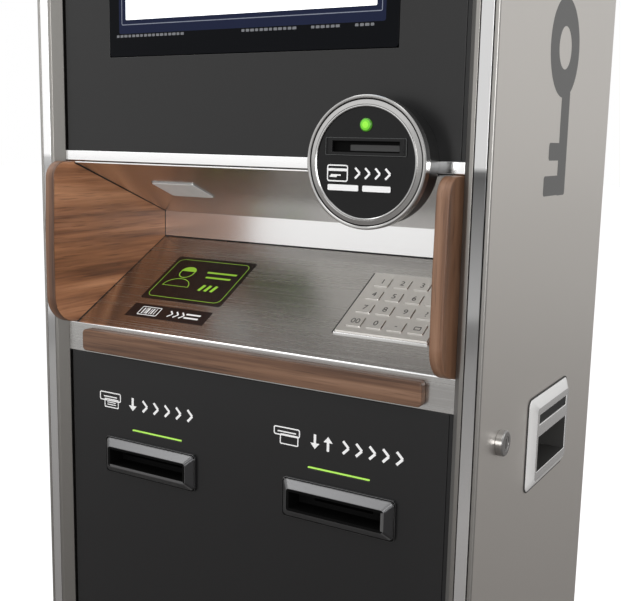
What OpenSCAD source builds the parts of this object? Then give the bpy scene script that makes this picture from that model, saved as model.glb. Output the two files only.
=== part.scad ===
// Floor-standing self-service terminal. A sheet-metal cabinet carries a portrait display, a round
// card reader, a sloped desk with a PIN pad between two walnut cheeks, a receipt slot, a card slot
// and a lockable service door. Millimetres, +Z up, the front faces -Y.
// Inside the modules x is measured from the cabinet's centre line, y from the face of the black
// front panels towards the back, and z from the floor.

/* [Cabinet] */
// Overall width across the two sides
body_w = 460; // [440:2:560]
// Depth from the face of the front posts to the back of the rear panel
body_d = 326; // [300:2:420]
// Overall height with its feet
body_h = 1650; // [1600:5:1800]
// Width of each front post with its side lip
post_w = 25; // [24:1:32]
// How far the posts stand in front of the black panels
post_proud = 9.4; // [8:0.2:12]
// Thickness of the sheet-metal skins
skin_t = 1.5; // [1:0.1:2.4]
// Thickness of the black front panels
panel_t = 2; // [1.5:0.1:3]
// Dark gap between a front panel and the post beside it
panel_gap = 3.5; // [2:0.5:5]
// Height of the top cap
cap_h = 18; // [14:1:30]
// Height of the levelling feet under the plinth
foot_h = 18; // [16:1:30]
// Height of the plinth
plinth_h = 80; // [60:2:120]

/* [Desk recess] */
// Height of the lower panel's top edge above the floor
recess_z = 800; // [760:5:860]
// Height of the steel fascia above the lower panel
fascia_h = 29; // [27:1:40]
// Depth of the recess behind the front panels
recess_d = 136; // [120:2:160]
// Height of the desk where it meets the back wall, above the lower panel
desk_back_h = 103.3; // [90:0.1:112]
// Height of the ceiling's front edge above the lower panel
ceil_front_h = 184.5; // [175:0.5:200]
// Height of the ceiling where it meets the back wall
ceil_back_h = 131; // [122:0.5:150]
// Thickness of the desk plate
desk_t = 2; // [1.5:0.1:3]
// Height of the polished band above the recess
band_h = 9.4; // [6:0.2:14]
// Thickness of each walnut cheek
cheek_t = 10.8; // [9:0.2:16]
// How far the cheeks stand in front of the black panels
cheek_proud = 29.5; // [22:0.5:34]
// Length of the walnut hand rest
rest_w = 361; // [320:1:380]
// Height of the hand rest
rest_h = 21; // [16:0.5:24]
// How far the hand rest stands out of the fascia
rest_proud = 8; // [6:0.5:14]

/* [PIN pad] */
// Side of the square key plate
pad_w = 88.5; // [84:0.5:100]
// Distance of the pad's centre from the centre line
pad_x = 123.2; // [110:0.5:130]
// Distance of the pad's centre up the desk
pad_s = 78.9; // [74:0.5:84]
// Spacing of the keys both ways
key_pitch = 19.65; // [18.5:0.05:20]
// Width of a key
key_w = 14.2; // [12:0.1:15]
// Height of a key
key_h = 13.2; // [11:0.1:14]
// How far a key stands out of its plate
key_proud = 0.9; // [0.5:0.1:1.6]
// Thickness of the key plate
pad_t = 2.5; // [2:0.1:4]

/* [Card reader] */
// Distance of the reader's axis from the centre line
reader_x = 135.5; // [128:0.5:142]
// Height of the reader's axis above the lower panel
reader_h = 193.5; // [190:0.5:200]
// Outer radius of the reader's ring
reader_r = 51; // [48:0.5:54]
// How far the reader stands in front of the black panels
reader_proud = 30; // [26:0.5:36]
// Width of a card slot
card_slot_w = 57.6; // [56:0.1:60]
// Height of the card slot in the reader
card_slot_h = 8.5; // [7:0.1:9]

/* [Slots] */
// Width of the flange of a slot bezel
bezel_w = 110; // [106:1:120]
// Height of the flange of a slot bezel
bezel_h = 36; // [32:0.5:40]
// Width of the slot in a bezel
slot_w = 89; // [84:0.5:94]
// Height of the slot in a bezel
slot_h = 15; // [12:0.5:17]
// How far a bezel stands out of the panel
bezel_proud = 8.5; // [6:0.5:12]
// Depth of a slot's centre below the lower panel's top edge
slot_drop = 98.9; // [94:0.5:110]
// Distance of the receipt slot from the centre line
receipt_x = 102; // [98:0.5:108]
// Distance of the card slot from the centre line
card_x = 103.9; // [98:0.5:108]
// Radius of a full paper roll
roll_r = 38; // [30:1:40]

/* [Display] */
// Width of the display glass
glass_w = 292.6; // [280:0.2:310]
// Height of the display glass
glass_h = 471; // [440:1:480]
// Height of the glass's lower edge above the lower panel
glass_low = 281.2; // [262:0.2:290]

/* [Service door] */
// Radius of the lock's head
lock_r = 10.7; // [9:0.1:11.5]
// How far the lock's head stands out of the door
lock_proud = 6.4; // [4:0.2:8]
// Distance of the lock behind the front panels
lock_y = 37.7; // [37:0.1:42]
// Depth of the lock below the lower panel's top edge
lock_drop = 28.1; // [20:0.1:60]
// Width of the flush pull's frame
pull_w = 114; // [108:1:120]
// Height of the flush pull's frame
pull_h = 84; // [80:1:92]
// How far the flush pull stands out of the door
pull_proud = 6; // [4:0.5:8]
// Distance of the pull's centre behind the front panels
pull_y = 167.5; // [150:0.5:180]
// Depth of the pull's centre below the lower panel's top edge
pull_drop = 52.9; // [48:0.1:70]
// Radius of a hinge pin
hinge_pin_r = 3; // [2.5:0.1:3.2]

/* [Hidden] */
$fn = 48;

// Clearances
fit_gap = 0.3;       // between a piece and the opening that it sits in
running_gap = 0.05;  // between a shaft and its bore, on the radius
door_gap = 0.8;      // between the door's lip and the post
eps = 0.1;           // how far a cutter passes the face that it cuts

// Main planes
half_w = body_w / 2;
half_panel = half_w - post_w;
half_skin = half_panel - panel_gap;
rear_y = body_d - post_proud;
base_z = foot_h + plinth_h;
top_z = body_h - cap_h;

// The row's origin is the centre of the footprint, so the cabinet's own axes are moved by this much
side_proud = max(lock_proud, pull_proud);
front_proud = max(reader_proud, cheek_proud);
frame_x = -side_proud / 2;
frame_y = -(rear_y - front_proud) / 2;

// Recess
half_recess = half_panel - cheek_t;
desk_angle = atan2(desk_back_h - fascia_h, recess_d);
desk_len = recess_d / cos(desk_angle);
ceil_angle = atan2(ceil_front_h - ceil_back_h, recess_d);
band_z = recess_z + ceil_front_h + skin_t + 0.4;
upper_z = band_z + band_h;

// Frame tubes
tube = 20;
stile_t = 12;        // depth of the two front stiles
stile_y = 14;        // where the front stiles start, at the back of the posts
rear_stile_x = half_w - 24;  // outer face of the right rear stile, clear of the turning door
shelf_t = 2;
seat_gap = 0.6;      // between the frame and the post's side
rear_stile_in = 4;   // left rear stile, from the cabinet's side
strip_low = 1;       // room above and below the panels' flanges
cable_r = 30;        // hole for cables through the plinth and the shelf

// Plinth, anchors and feet
plinth_t = 3;        // plates of the plinth
plinth_side = 15;    // how far the plinth's box stays inside the cabinet's sides
plinth_front = 6;
plinth_rear = 10;
anchor_r = 5.5;
anchor_access_r = 14;
anchor_x = 150;
anchor_y = 90;
stem_r = 5;
sole_r = 20;
sole_t = 7;
nut_r = 9;
nut_h = 6;
foot_side = 42;      // from the cabinet's side to a foot's stem
foot_front = 32;
foot_rear = 36;

// Posts: reveal, lip and the channel for the bright strip
reveal_w = 6.7;
lip_w = 3.3;
channel_d = 3.4;
strip_gap = 0.6;
post_out = half_w - 3.6 - door_gap;

// Lips and flanges of the two side skins
side_lip = 3.6;
lip_back = 0.8;      // how far the side lip stays behind the post's face
return_w = 18;       // width of the flange at the rear of a side skin
lip_d = 8;           // depth of the doubled lip at the front
skin_corner = 1.8;
stiffener_y = stile_y + stile_t + 34;  // the door's inner flange

// Rear panel: vents and grille
vent_w = 70;
vent_h = 5;
vent_pitch = 14;
vent_low = 160;
vent_x = 110;
vents = 10;
grille_pitch = 9;
grille_bar = 3;

// Service door and its hinges
hinge_in = 7;        // from the door's outer faces to the hinge axis
hinge_x = half_w - hinge_in;
hinge_y = rear_y - hinge_in;
knuckle_r = 5.2;
bracket_h = 5;
bracket_half = 4.4;
tab_h = 4;
tab_gap = 0.5;
door_low = base_z + 1;
door_high = top_z - 1;
hinge_z = [door_low + 110, (door_low + door_high) / 2, door_high - 110];

// Lock
barrel_r = 9;
plug_r = 6;
cam_x = half_panel - 5;
cam_t = 3;
cam_w = 12;
cam_reach = sqrt(pow(lock_y - stile_y - 2.8, 2) - pow(cam_w / 2, 2));  // swings clear of the panel strip

// Flush pull
pull_face_w = pull_w - 20;
pull_face_h = pull_h - 17;
pocket_w = pull_w - 30;
pocket_h = 32.5;
pocket_drop = 9.3;   // pocket's centre below the pull's centre
pocket_d = 24;
pocket_wall = 2;
label_w = pocket_w - 2;
label_h = 9.2;
label_d = 0.8;
pocket_out_w = pocket_w + 2 * pocket_wall;
pocket_out_h = pocket_h + 2 * pocket_wall;
label_rise = 22.4;

// PIN pad
pad_cut = pad_w - 4.5;
key_gap = 0.2;
key_flange = 0.7;
key_travel = 1.5;
key_skirt = 2.2;     // how deep a key's cap goes below the desk's surface
flange_t = 1.1;
flange_drop = 1.3;
cavity_d = flange_drop + flange_t + key_travel + fit_gap;
pad_body_d = 30;
pad_edge = 1;        // step around the plate's edge
pad_wall = 2;

// Reader
reader_z = recess_z + reader_h;
barrel_wall = 4.5;
ring_d = 8;
barrel_len = reader_proud - ring_d;
face_r = reader_r - 9;
slot_rise = 12;
led_rise = 28.5;
led_r = 5;
neck_r = 18;
neck_rise = max(25, upper_z + 2 + neck_r - reader_z);
shutter_t = 1.5;
barrel_r_out = reader_r - 2.5;
barrel_floor = 3;
neck_back = 12;
neck_len = 13;
face_back = reader_proud - 5;   // back of the face disc
face_t = 3.4;
slot_rim_t = 4.3;
slot_rim_w = 7;
slot_rim_h = 5.4;
face_cut = 8;
led_len = 4.6;

// Slots and their modules
slot_z = recess_z - slot_drop;
bezel_base = 2.5;
throat_d = 10;
throat_wall = 2.2;
light_w = 60;
light_h = 2;
light_rise = 29.2;
card_light_rise = 30.1;
receipt_light_x = 7.2;
card_light_x = -0.7;
bezel_slope_w = 6;   // how much wider than the slot the bezel's face is
bezel_slope_h = 5.5;

// Card dispenser
feeder_l = 60;
feeder_wall = 3;
feeder_low = 60;
feeder_high = 14;
hopper_half = 38;
hopper_l = 100;
hopper_wall = 10;
hopper_high = 60;

// Receipt printer
chassis_t = 3;
paper_gap = 5;
roll_w = 80;
spindle_r = 6;
platen_r = 7.9;
stub_r = 3;
roll_y = throat_d + 95;
platen_y = throat_d + 20;
printer_half = slot_w / 2 + 5.5;
printer_d = roll_y + roll_r + 8 - throat_d;
roll_z = slot_z - 14;
platen_z = slot_z - 11;
printer_low = roll_z - roll_r - 10;

// Windows
id_x = -100.8;
id_s = 84.4;
id_w = 97.8;
id_h = 73;
code_s = 28.8;
code_w = 94.2;
code_h = 19.9;
window_proud = 0.2;
lamp_x = -111.6;
lamp_s = 67.3;
lamp_w = 51;
lamp_h = 37;
lamp_proud = 1.5;
camera_w = 64;
camera_h = 16;
camera_z = recess_z + glass_low + glass_h + 38;
camera_corner = 4;
window_corner = 3;
id_margin = 3;       // how far the ID reader's case passes its window
id_case_d = 28;
code_case_d = 24;

// Display
glass_t = 3;
module_in = 6;       // from the glass's edge to the display's case
module_d = 23;
driver_half = 60;
driver_d = 6;
band_t = 3;

// Computer
computer_x = -60;
computer_w = 180;
computer_y = 34;
computer_d = 156;
computer_h = 62;

// Fan and power entry
fan_side = 92;
fan_d = 25;
fan_r = 41;
fan_x = -80;
fan_z = recess_z + 560;
fan_pin_r = 2;
blades = 7;
hub_r = 15;
hub_d = 17;
blade_t = 1.6;
blade_d = 18;
blade_turn = 38;
strut_w = 3;
strut_t = 2;
boss_r = 16;
inlet_x = 110;
inlet_z = base_z + 70;
inlet_w = 32;
inlet_h = 62;
inlet_d = 32;
rocker_w = 13;
rocker_h = 20;
rocker_pin_r = 1.5;
rocker_rise = 15;
rocker_d = 8;
rocker_in = 5;       // from the inlet's face to the rocker's axis
inlet_rim = 6;
socket_w = 24.4;
socket_h = 16.8;
socket_d = 17;
socket_drop = 13;

function arc(cx, cy, r, from, to, steps) =
    [for (i = [0:steps]) [cx + r * cos(from + (to - from) * i / steps),
                          cy + r * sin(from + (to - from) * i / steps)]];

// ---- helpers ----

module in_frame() { translate([frame_x, frame_y, 0]) children(); }

module block(low, high) { translate(low) cube(high - low); }

// Rounded rectangle about the origin, with true arcs
module rrect(w, h, r) {
    square([w - 2 * r, h], center = true);
    square([w, h - 2 * r], center = true);
    for (sx = [-1, 1], sy = [-1, 1])
        translate([sx * (w / 2 - r), sy * (h / 2 - r)]) circle(r = r, $fn = 32);
}

// Slot with round ends
module slot(w, h) {
    square([w - h, h], center = true);
    for (s = [-1, 1]) translate([s * (w - h) / 2, 0]) circle(r = h / 2, $fn = 32);
}

// A shape drawn in x and z, from y0 backwards by t
module from_front(y0, t) { translate([0, y0 + t, 0]) rotate([90, 0, 0]) linear_extrude(t) children(); }

// A shape drawn in y and z, from x0 to the right by t
module from_side(x0, t) { translate([x0, 0, 0]) rotate([90, 0, 90]) linear_extrude(t) children(); }

// The desk's own axes: y runs up the slope, z out of its surface
module on_desk() { translate([0, 0, recess_z + fascia_h]) rotate([desk_angle, 0, 0]) children(); }

// The ceiling's own axes: y runs back down its slope, z into the cabinet
module on_ceiling() { translate([0, 0, recess_z + ceil_front_h]) rotate([-ceil_angle, 0, 0]) children(); }

// The reader's own axes: z runs forward out of the panel, y up
module on_reader() { translate([reader_x, 0, reader_z]) rotate([90, 0, 0]) children(); }

// ---- cabinet ----

module base_plinth() {
    color("dimgray") in_frame() difference() {
        union() {
            difference() {
                plinth_block(0, foot_h, base_z - plinth_t);
                plinth_block(plinth_t, foot_h + plinth_t, base_z - plinth_t + eps);
            }
            block([-post_out, channel_d - post_proud, base_z - plinth_t],
                  [post_out, rear_y - skin_t - 0.1, base_z]);
        }
        anchor_places() plinth_hole(foot_h, anchor_r);
        anchor_places() plinth_hole(base_z - plinth_t, anchor_access_r);
        foot_places() plinth_hole(foot_h, stem_r + fit_gap);
        cable_place() plinth_hole(foot_h, cable_r);
        cable_place() plinth_hole(base_z - plinth_t, cable_r);
    }
}

module plinth_block(inset, low, high) {
    block([-half_w + plinth_side + inset, plinth_front + inset, low],
          [half_w - plinth_side - inset, rear_y - plinth_rear - inset, high]);
}

module plinth_hole(z, r) { translate([0, 0, z - eps]) cylinder(r = r, h = plinth_t + 2 * eps); }

module cable_place() { translate([0, rear_y - 80, 0]) children(); }

module anchor_places() {
    for (sx = [-1, 1], sy = [-1, 1]) translate([sx * anchor_x, rear_y / 2 + sy * anchor_y, 0]) children();
}

module foot_places() {
    for (sx = [-1, 1], y = [foot_front, rear_y - foot_rear])
        translate([sx * (half_w - foot_side), y, 0]) children();
}

// Rubber-soled pad, nut against the plinth and threaded stem, four times
module levelling_feet() {
    color("silver") in_frame() foot_places() {
        cylinder(r1 = sole_r, r2 = sole_r - 2, h = sole_t);
        cylinder(r = stem_r, h = foot_h + 20);
        translate([0, 0, foot_h - nut_h]) cylinder(r = nut_r, h = nut_h, $fn = 6);
    }
}

module cabinet_frame() {
    color("#262626") in_frame() difference() {
        union() {
            for (s = [-1, 1]) {
                front_stile(s);
                panel_strip(s, base_z, recess_z - strip_low);
                panel_strip(s, upper_z + strip_low, top_z);
            }
            rear_stile(-half_w + rear_stile_in);
            rear_stile(rear_stile_x - tube);
            for (z = [base_z, top_z - tube]) rail_ring(z);
            block([-rear_stile_x, stile_y, base_z + tube],
                  [rear_stile_x, rear_y - skin_t - 1, base_z + tube + shelf_t]);
            for (z = hinge_z) hinge_bracket(z);
        }
        for (z = hinge_z) translate([hinge_x, hinge_y, z - bracket_h])
            cylinder(r = hinge_pin_r, h = 2 * bracket_h);
        cable_place() translate([0, 0, base_z + tube - eps]) cylinder(r = cable_r, h = shelf_t + 2 * eps);
    }
}

module front_stile(s) {
    high = post_out - seat_gap;
    low = s > 0 ? half_panel + fit_gap : -high;
    translate([low, stile_y, base_z]) cube([high - half_panel - fit_gap, stile_t, top_z - base_z]);
}

module panel_strip(s, low, high) {
    x = s > 0 ? half_skin - 14 : -half_panel - 1;
    block([x, stile_y, low], [x + 14 + panel_gap + 1, stile_y + 2, high]);
}

module rear_stile(x) {
    block([x, rear_y - skin_t - tube, base_z], [x + tube, rear_y - skin_t, top_z]);
}

module rail_ring(z) {
    side = post_out - seat_gap;
    back = rear_y - skin_t;
    block([-side, stile_y, z], [side, stile_y + stile_t, z + tube]);
    block([-half_w + rear_stile_in, back - tube, z], [rear_stile_x, back, z + tube]);
    block([-rear_stile_x, stile_y, z], [-rear_stile_x + tube, back, z + tube]);
    block([rear_stile_x - tube, stile_y, z], [rear_stile_x, back, z + tube]);
}

module hinge_bracket(z) {
    root = rear_stile_x - 1;
    translate([0, 0, z - bracket_h / 2]) linear_extrude(bracket_h) {
        translate([root, hinge_y - bracket_half]) square([hinge_x - root, 2 * bracket_half]);
        translate([hinge_x, hinge_y]) circle(r = knuckle_r);
    }
}

// Side skin seen from above, for the right side: lip, skin and rear flange
module side_profile() {
    lip_y = lip_back - post_proud;
    translate([half_w - side_lip, lip_y]) square([side_lip - skin_corner, lip_d]);
    translate([half_w - side_lip, lip_y + skin_corner]) square([side_lip, lip_d - skin_corner]);
    translate([half_w - skin_corner, lip_y + skin_corner]) circle(r = skin_corner);
    translate([half_w - skin_t, lip_y + skin_corner]) square([skin_t, rear_y - lip_y - skin_corner]);
    translate([half_w - return_w, rear_y - skin_t]) square([return_w, skin_t]);
}

module left_side_panel() {
    color("#a7a39d") in_frame() mirror([1, 0, 0]) translate([0, 0, base_z + 1])
        linear_extrude(top_z - base_z - 2) {
            side_profile();
            translate([rear_stile_x, stile_y + stile_t])
                square([half_w - rear_stile_x - skin_t / 2, skin_t]);
        }
}

module rear_panel() {
    left = -half_w + return_w + 3.3;
    right = rear_stile_x + 2.7;
    color("#a7a39d") in_frame() difference() {
        block([left, rear_y - skin_t, base_z], [right, rear_y, top_z]);
        for (x = [-vent_x, 0, vent_x], i = [0:vents - 1])
            through_rear(x, base_z + vent_low + vent_pitch * i) slot(vent_w, vent_h);
        through_rear(fan_x, fan_z) fan_grille();
        through_rear(inlet_x, inlet_z) square([inlet_w + 2 * fit_gap, inlet_h + 2 * fit_gap], center = true);
    }
}

module through_rear(x, z) {
    translate([x, rear_y, z]) rotate([90, 0, 0]) linear_extrude(4 * skin_t, center = true) children();
}

module fan_grille() {
    for (i = [-4:4]) {
        half = sqrt(pow(fan_r - 2, 2) - pow(grille_pitch * i, 2));
        for (s = [-1, 1]) translate([s * (half + grille_bar) / 2, grille_pitch * i])
            slot(half - grille_bar, vent_h);
    }
}

module top_cap() {
    color("#a7a39d") in_frame() difference() {
        translate([0, (rear_y - post_proud) / 2, top_z]) linear_extrude(cap_h) rrect(body_w, body_d, 3);
        block([-half_w + 4, -post_proud + 4, top_z - eps], [half_w - 4, rear_y - 4, body_h - 3]);
    }
}

module post_profile() {
    polygon([
        [half_panel, stile_y], [half_panel, 0], [half_panel + reveal_w, -post_proud],
        [half_panel + reveal_w + lip_w, -post_proud],
        [half_panel + reveal_w + lip_w, -post_proud + channel_d],
        [post_out, -post_proud + channel_d], [post_out, stile_y]
    ]);
}

module front_posts() {
    color("#8d8a85") in_frame() for (s = [0, 1]) mirror([s, 0, 0])
        translate([0, 0, base_z]) linear_extrude(top_z - base_z) post_profile();
}

// Polished strip in the channel of each post
module chrome_strips() {
    low = half_panel + reveal_w + lip_w + strip_gap;
    high = post_out - strip_gap / 3;
    color("#e6e6e6") in_frame() for (s = [0, 1]) mirror([s, 0, 0])
        block([low, -post_proud + 0.3, base_z + 1], [high, -post_proud + channel_d, top_z - 1]);
}

// ---- front panels ----

module folded_panel(low, high) {
    block([-half_skin, 0, low], [half_skin, panel_t, high]);
    for (s = [-1, 1]) translate([s * (half_skin - skin_t / 2), stile_y / 2, (low + high) / 2])
        cube([skin_t, stile_y, high - low], center = true);
}

module upper_front_panel() {
    color("#3a3a3a") in_frame() difference() {
        folded_panel(upper_z, top_z);
        block([-glass_w / 2 - fit_gap, -eps, recess_z + glass_low - fit_gap],
              [glass_w / 2 + fit_gap, panel_t + eps, recess_z + glass_low + glass_h + fit_gap]);
        on_reader() translate([0, neck_rise, -stile_y]) cylinder(r = neck_r + fit_gap, h = 2 * stile_y);
        translate([0, 0, camera_z]) from_front(-eps, panel_t + 2 * eps)
            rrect(camera_w + fit_gap, camera_h + fit_gap, camera_corner);
    }
}

module lower_front_panel() {
    color("#262626") in_frame() difference() {
        folded_panel(base_z + 1, recess_z - 0.5);
        for (x = [-receipt_x, card_x]) translate([x, 0, slot_z]) from_front(-eps, panel_t + 2 * eps)
            square([slot_w + 2 * throat_wall + fit_gap, slot_h + 2 * throat_wall + fit_gap], center = true);
        light_bar_places() from_front(-eps, panel_t + 2 * eps)
            square([light_w + fit_gap, light_h + fit_gap], center = true);
    }
}

module light_bar_places() {
    translate([receipt_light_x - receipt_x, 0, slot_z + light_rise - 1]) children();
    translate([card_x + card_light_x, 0, slot_z + card_light_rise]) children();
}

module display_glass() {
    color("#10131f") in_frame() translate([0, 0, recess_z + glass_low + glass_h / 2])
        from_front(0, glass_t) rrect(glass_w, glass_h, 1);
}

module display_module() {
    side = glass_w / 2 - module_in;
    middle = recess_z + glass_low + glass_h / 2;
    back = glass_t + module_d;
    color("#555555") in_frame() {
        translate([0, 0, middle]) from_front(glass_t, module_d)
            square([2 * side, glass_h - 2 * module_in], center = true);
        block([-driver_half, back, middle - driver_half], [driver_half, back + driver_d, middle + driver_half]);
    }
}

module trim_band() {
    color("#e6e6e6") in_frame() block([-half_panel, 0, band_z], [half_panel, band_t, upper_z]);
}

// ---- desk recess ----

module liner_outline() {
    front = [0.8 * cos(ceil_angle), ceil_front_h - 0.8 * sin(ceil_angle)];
    polygon([
        front, [recess_d, ceil_back_h], [recess_d, desk_back_h], [recess_d + skin_t, desk_back_h],
        [recess_d + skin_t, ceil_back_h + skin_t], front + skin_t * [sin(ceil_angle), cos(ceil_angle)]
    ]);
}

// Ceiling and back wall, folded from one polished sheet
module recess_liner() {
    color("#b9b6b1") in_frame() difference() {
        translate([0, 0, recess_z]) from_side(-half_recess, 2 * half_recess) liner_outline();
        on_ceiling() translate([lamp_x, lamp_s, -eps]) linear_extrude(skin_t + 2 * eps)
            square([lamp_w + fit_gap, lamp_h + fit_gap], center = true);
    }
}

// Sloped desk and upright fascia, folded from one brushed sheet
module desk_plate() {
    color("#8a8986") in_frame() {
        difference() {
            on_desk() block([-half_recess, 0, -desk_t], [half_recess, desk_len - 1.2, 0]);
            on_desk() translate([id_x, id_s, -desk_t]) linear_extrude(3 * desk_t, center = true)
                rrect(id_w + fit_gap, id_h + fit_gap, window_corner);
            on_desk() translate([id_x, code_s, -desk_t]) linear_extrude(3 * desk_t, center = true)
                square([code_w + fit_gap, code_h + fit_gap], center = true);
            on_desk() translate([pad_x, pad_s, -desk_t]) linear_extrude(3 * desk_t, center = true)
                square([pad_cut, pad_cut], center = true);
        }
        block([-half_panel, 0, recess_z], [half_panel, desk_t, recess_z + fascia_h]);
    }
}

function cheek_outline() = concat(
    arc(-1.5, fascia_h + cheek_proud - 1.3, cheek_proud - 1.5, 270, 180, 12),
    [[-cheek_proud, fascia_h + 81]],
    arc(-cheek_proud + 18, ceil_front_h - 16 + 0.9, 16, 180, 90, 10),
    [[3.4, ceil_front_h + 0.9], [3.4, ceil_front_h + 3.6],
     [recess_d + skin_t, ceil_back_h + 7], [recess_d + skin_t, desk_back_h - 6],
     [desk_t + fit_gap, fascia_h - 5], [desk_t + fit_gap, fascia_h + 0.2]]
);

module wood_cheeks() {
    color("#6e4834") in_frame() for (s = [0, 1]) mirror([s, 0, 0])
        translate([0, 0, recess_z]) from_side(half_recess, cheek_t) polygon(cheek_outline());
}

module hand_rest() {
    color("#6e4834") in_frame() translate([0, 0, recess_z + 3 + rest_h / 2])
        from_front(-rest_proud, rest_proud) rrect(rest_w, rest_h, 4);
}

module work_light() {
    color("white") in_frame() on_ceiling() translate([lamp_x, lamp_s, -lamp_proud])
        linear_extrude(skin_t + lamp_proud) square([lamp_w, lamp_h], center = true);
}

// Dark glass over the ID reader, over the bar-code scanner and over the camera
module scan_windows() {
    color("#1c1616") in_frame() {
        on_desk() translate([id_x, id_s, -desk_t]) linear_extrude(desk_t + window_proud)
            rrect(id_w, id_h, window_corner);
        on_desk() translate([id_x, code_s, -desk_t]) linear_extrude(desk_t + window_proud)
            square([code_w, code_h], center = true);
        translate([0, 0, camera_z]) from_front(0, 2 * panel_t) rrect(camera_w, camera_h, camera_corner);
    }
}

module id_reader() {
    side = id_w / 2 + id_margin;
    color("#3c3c3c") in_frame() on_desk()
        block([id_x - side, id_s - id_h / 2 - 1, -desk_t - id_case_d],
              [id_x + side, id_s + id_h / 2 + id_margin, -desk_t]);
}

module barcode_scanner() {
    side = code_w / 2 + id_margin;
    color("#3c3c3c") in_frame() on_desk()
        block([id_x - side, code_s - code_h / 2 - 1, -desk_t - code_case_d],
              [id_x + side, code_s + code_h / 2 + 1, -desk_t]);
}

// ---- PIN pad ----

module on_pad() { in_frame() on_desk() translate([pad_x, pad_s, 0]) children(); }

module key_place(col, row) {
    translate([(col - 1.5) * key_pitch, (1.5 - row) * key_pitch, 0]) children();
}

module pinpad_plate() {
    color("#b4b1ac") on_pad() difference() {
        union() {
            linear_extrude(pad_t - pad_edge) square([pad_w, pad_w], center = true);
            linear_extrude(pad_t) square([pad_w - 2 * pad_edge, pad_w - 2 * pad_edge], center = true);
        }
        for (col = [0:3], row = [0:3]) key_place(col, row) translate([0, 0, -eps])
            linear_extrude(pad_t + 2 * eps) rrect(key_w + 2 * key_gap, key_h + 2 * key_gap, 1.4);
    }
}

module pinpad_housing() {
    side = pad_cut / 2 - 1;
    inner = side - pad_wall;
    color("#2c2c2c") on_pad() difference() {
        block([-side, -side, -pad_body_d], [side, side, 0]);
        block([-inner, -inner, -cavity_d], [inner, inner, eps]);
    }
}

// One key: a cap through the plate and a flange that keeps it in
module key(col, row) {
    color("#c2bfba") on_pad() key_place(col, row) {
        translate([0, 0, -key_skirt]) linear_extrude(key_skirt + pad_t + key_proud) rrect(key_w, key_h, 1.2);
        translate([0, 0, -flange_drop - running_gap * 2]) linear_extrude(flange_t)
            square([key_w + 2 * key_flange, key_h + 2 * key_flange], center = true);
    }
}

// ---- card reader ----

module reader_barrel() {
    color("#1e1e1e") in_frame() on_reader() difference() {
        union() {
            cylinder(r = barrel_r_out, h = barrel_len, $fn = 96);
            translate([0, neck_rise, -neck_back]) cylinder(r = neck_r, h = neck_len);
        }
        translate([0, 0, barrel_floor]) cylinder(r = barrel_r_out - barrel_wall, h = barrel_len, $fn = 96);
        translate([0, neck_rise, -neck_back - eps]) cylinder(r = neck_r - 8, h = neck_len + barrel_floor + 4);
    }
}

module ring_profile() {
    b = barrel_len;
    t = reader_proud;
    r = reader_r;
    polygon([
        [r - 9, b], [r, b], [r, t - 1.4], [r - 0.8, t - 0.6], [r - 1.5, t - 0.6], [r - 1.7, t - 1.8],
        [r - 2.2, t - 1.8], [r - 2.6, t - 0.3], [r - 6.2, t], [r - 6.5, t - 0.8], [r - 7, t - 0.8],
        [r - 7.4, t], [r - 8.4, t], [r - 9, t - 0.7]
    ]);
}

module reader_ring() {
    color("#c9c7c3") in_frame() on_reader() rotate_extrude($fn = 96) ring_profile();
}

module reader_face() {
    color("#1e1e1e") in_frame() on_reader() translate([0, 0, face_back]) difference() {
        union() {
            cylinder(r = face_r - running_gap, h = face_t, $fn = 96);
            translate([0, slot_rise, 0]) linear_extrude(slot_rim_t)
                rrect(card_slot_w + slot_rim_w, card_slot_h + slot_rim_h, 1.2);
        }
        translate([0, slot_rise, -1]) linear_extrude(face_cut)
            square([card_slot_w, card_slot_h], center = true);
        translate([0, led_rise, -1]) cylinder(r = led_r + running_gap, h = face_cut);
    }
}

// Plate that blocks the card path until a card is due
module reader_shutter() {
    color("#3a3a3a") in_frame() on_reader()
        translate([0, slot_rise, face_back - fit_gap - shutter_t]) linear_extrude(shutter_t)
            rrect(card_slot_w + 4, card_slot_h + 4, 1);
}

// Light guides: the dome on the reader and the bars above the two slots
module status_lights() {
    color("#8fe040") in_frame() {
        on_reader() translate([0, led_rise, face_back - 1]) {
            cylinder(r = led_r, h = led_len);
            translate([0, 0, led_len]) intersection() {
                translate([0, 0, -led_r * 1.2]) sphere(r = led_r * 1.56);
                cylinder(r = led_r, h = led_r);
            }
        }
        light_bar_places() from_front(0, 3 * panel_t) square([light_w, light_h], center = true);
    }
}

// ---- slots ----

module slot_bezel(x) {
    throat_w = slot_w + 2 * throat_wall;
    throat_h = slot_h + 2 * throat_wall;
    color("#3b3b3b") in_frame() translate([x, 0, slot_z]) difference() {
        union() {
            from_front(-bezel_base, bezel_base) rrect(bezel_w, bezel_h, 4);
            hull() {
                from_front(-bezel_base - 0.5, 0.5) rrect(bezel_w - 3, bezel_h - 3, 4);
                from_front(-bezel_proud, 0.5) rrect(slot_w + bezel_slope_w, slot_h + bezel_slope_h, 3);
            }
            from_front(0, throat_d) square([throat_w, throat_h], center = true);
        }
        from_front(-bezel_proud - eps, bezel_proud + throat_d + 2 * eps)
            square([slot_w, slot_h], center = true);
    }
}

module receipt_bezel() { slot_bezel(-receipt_x); }

module card_bezel() { slot_bezel(card_x); }

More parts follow.
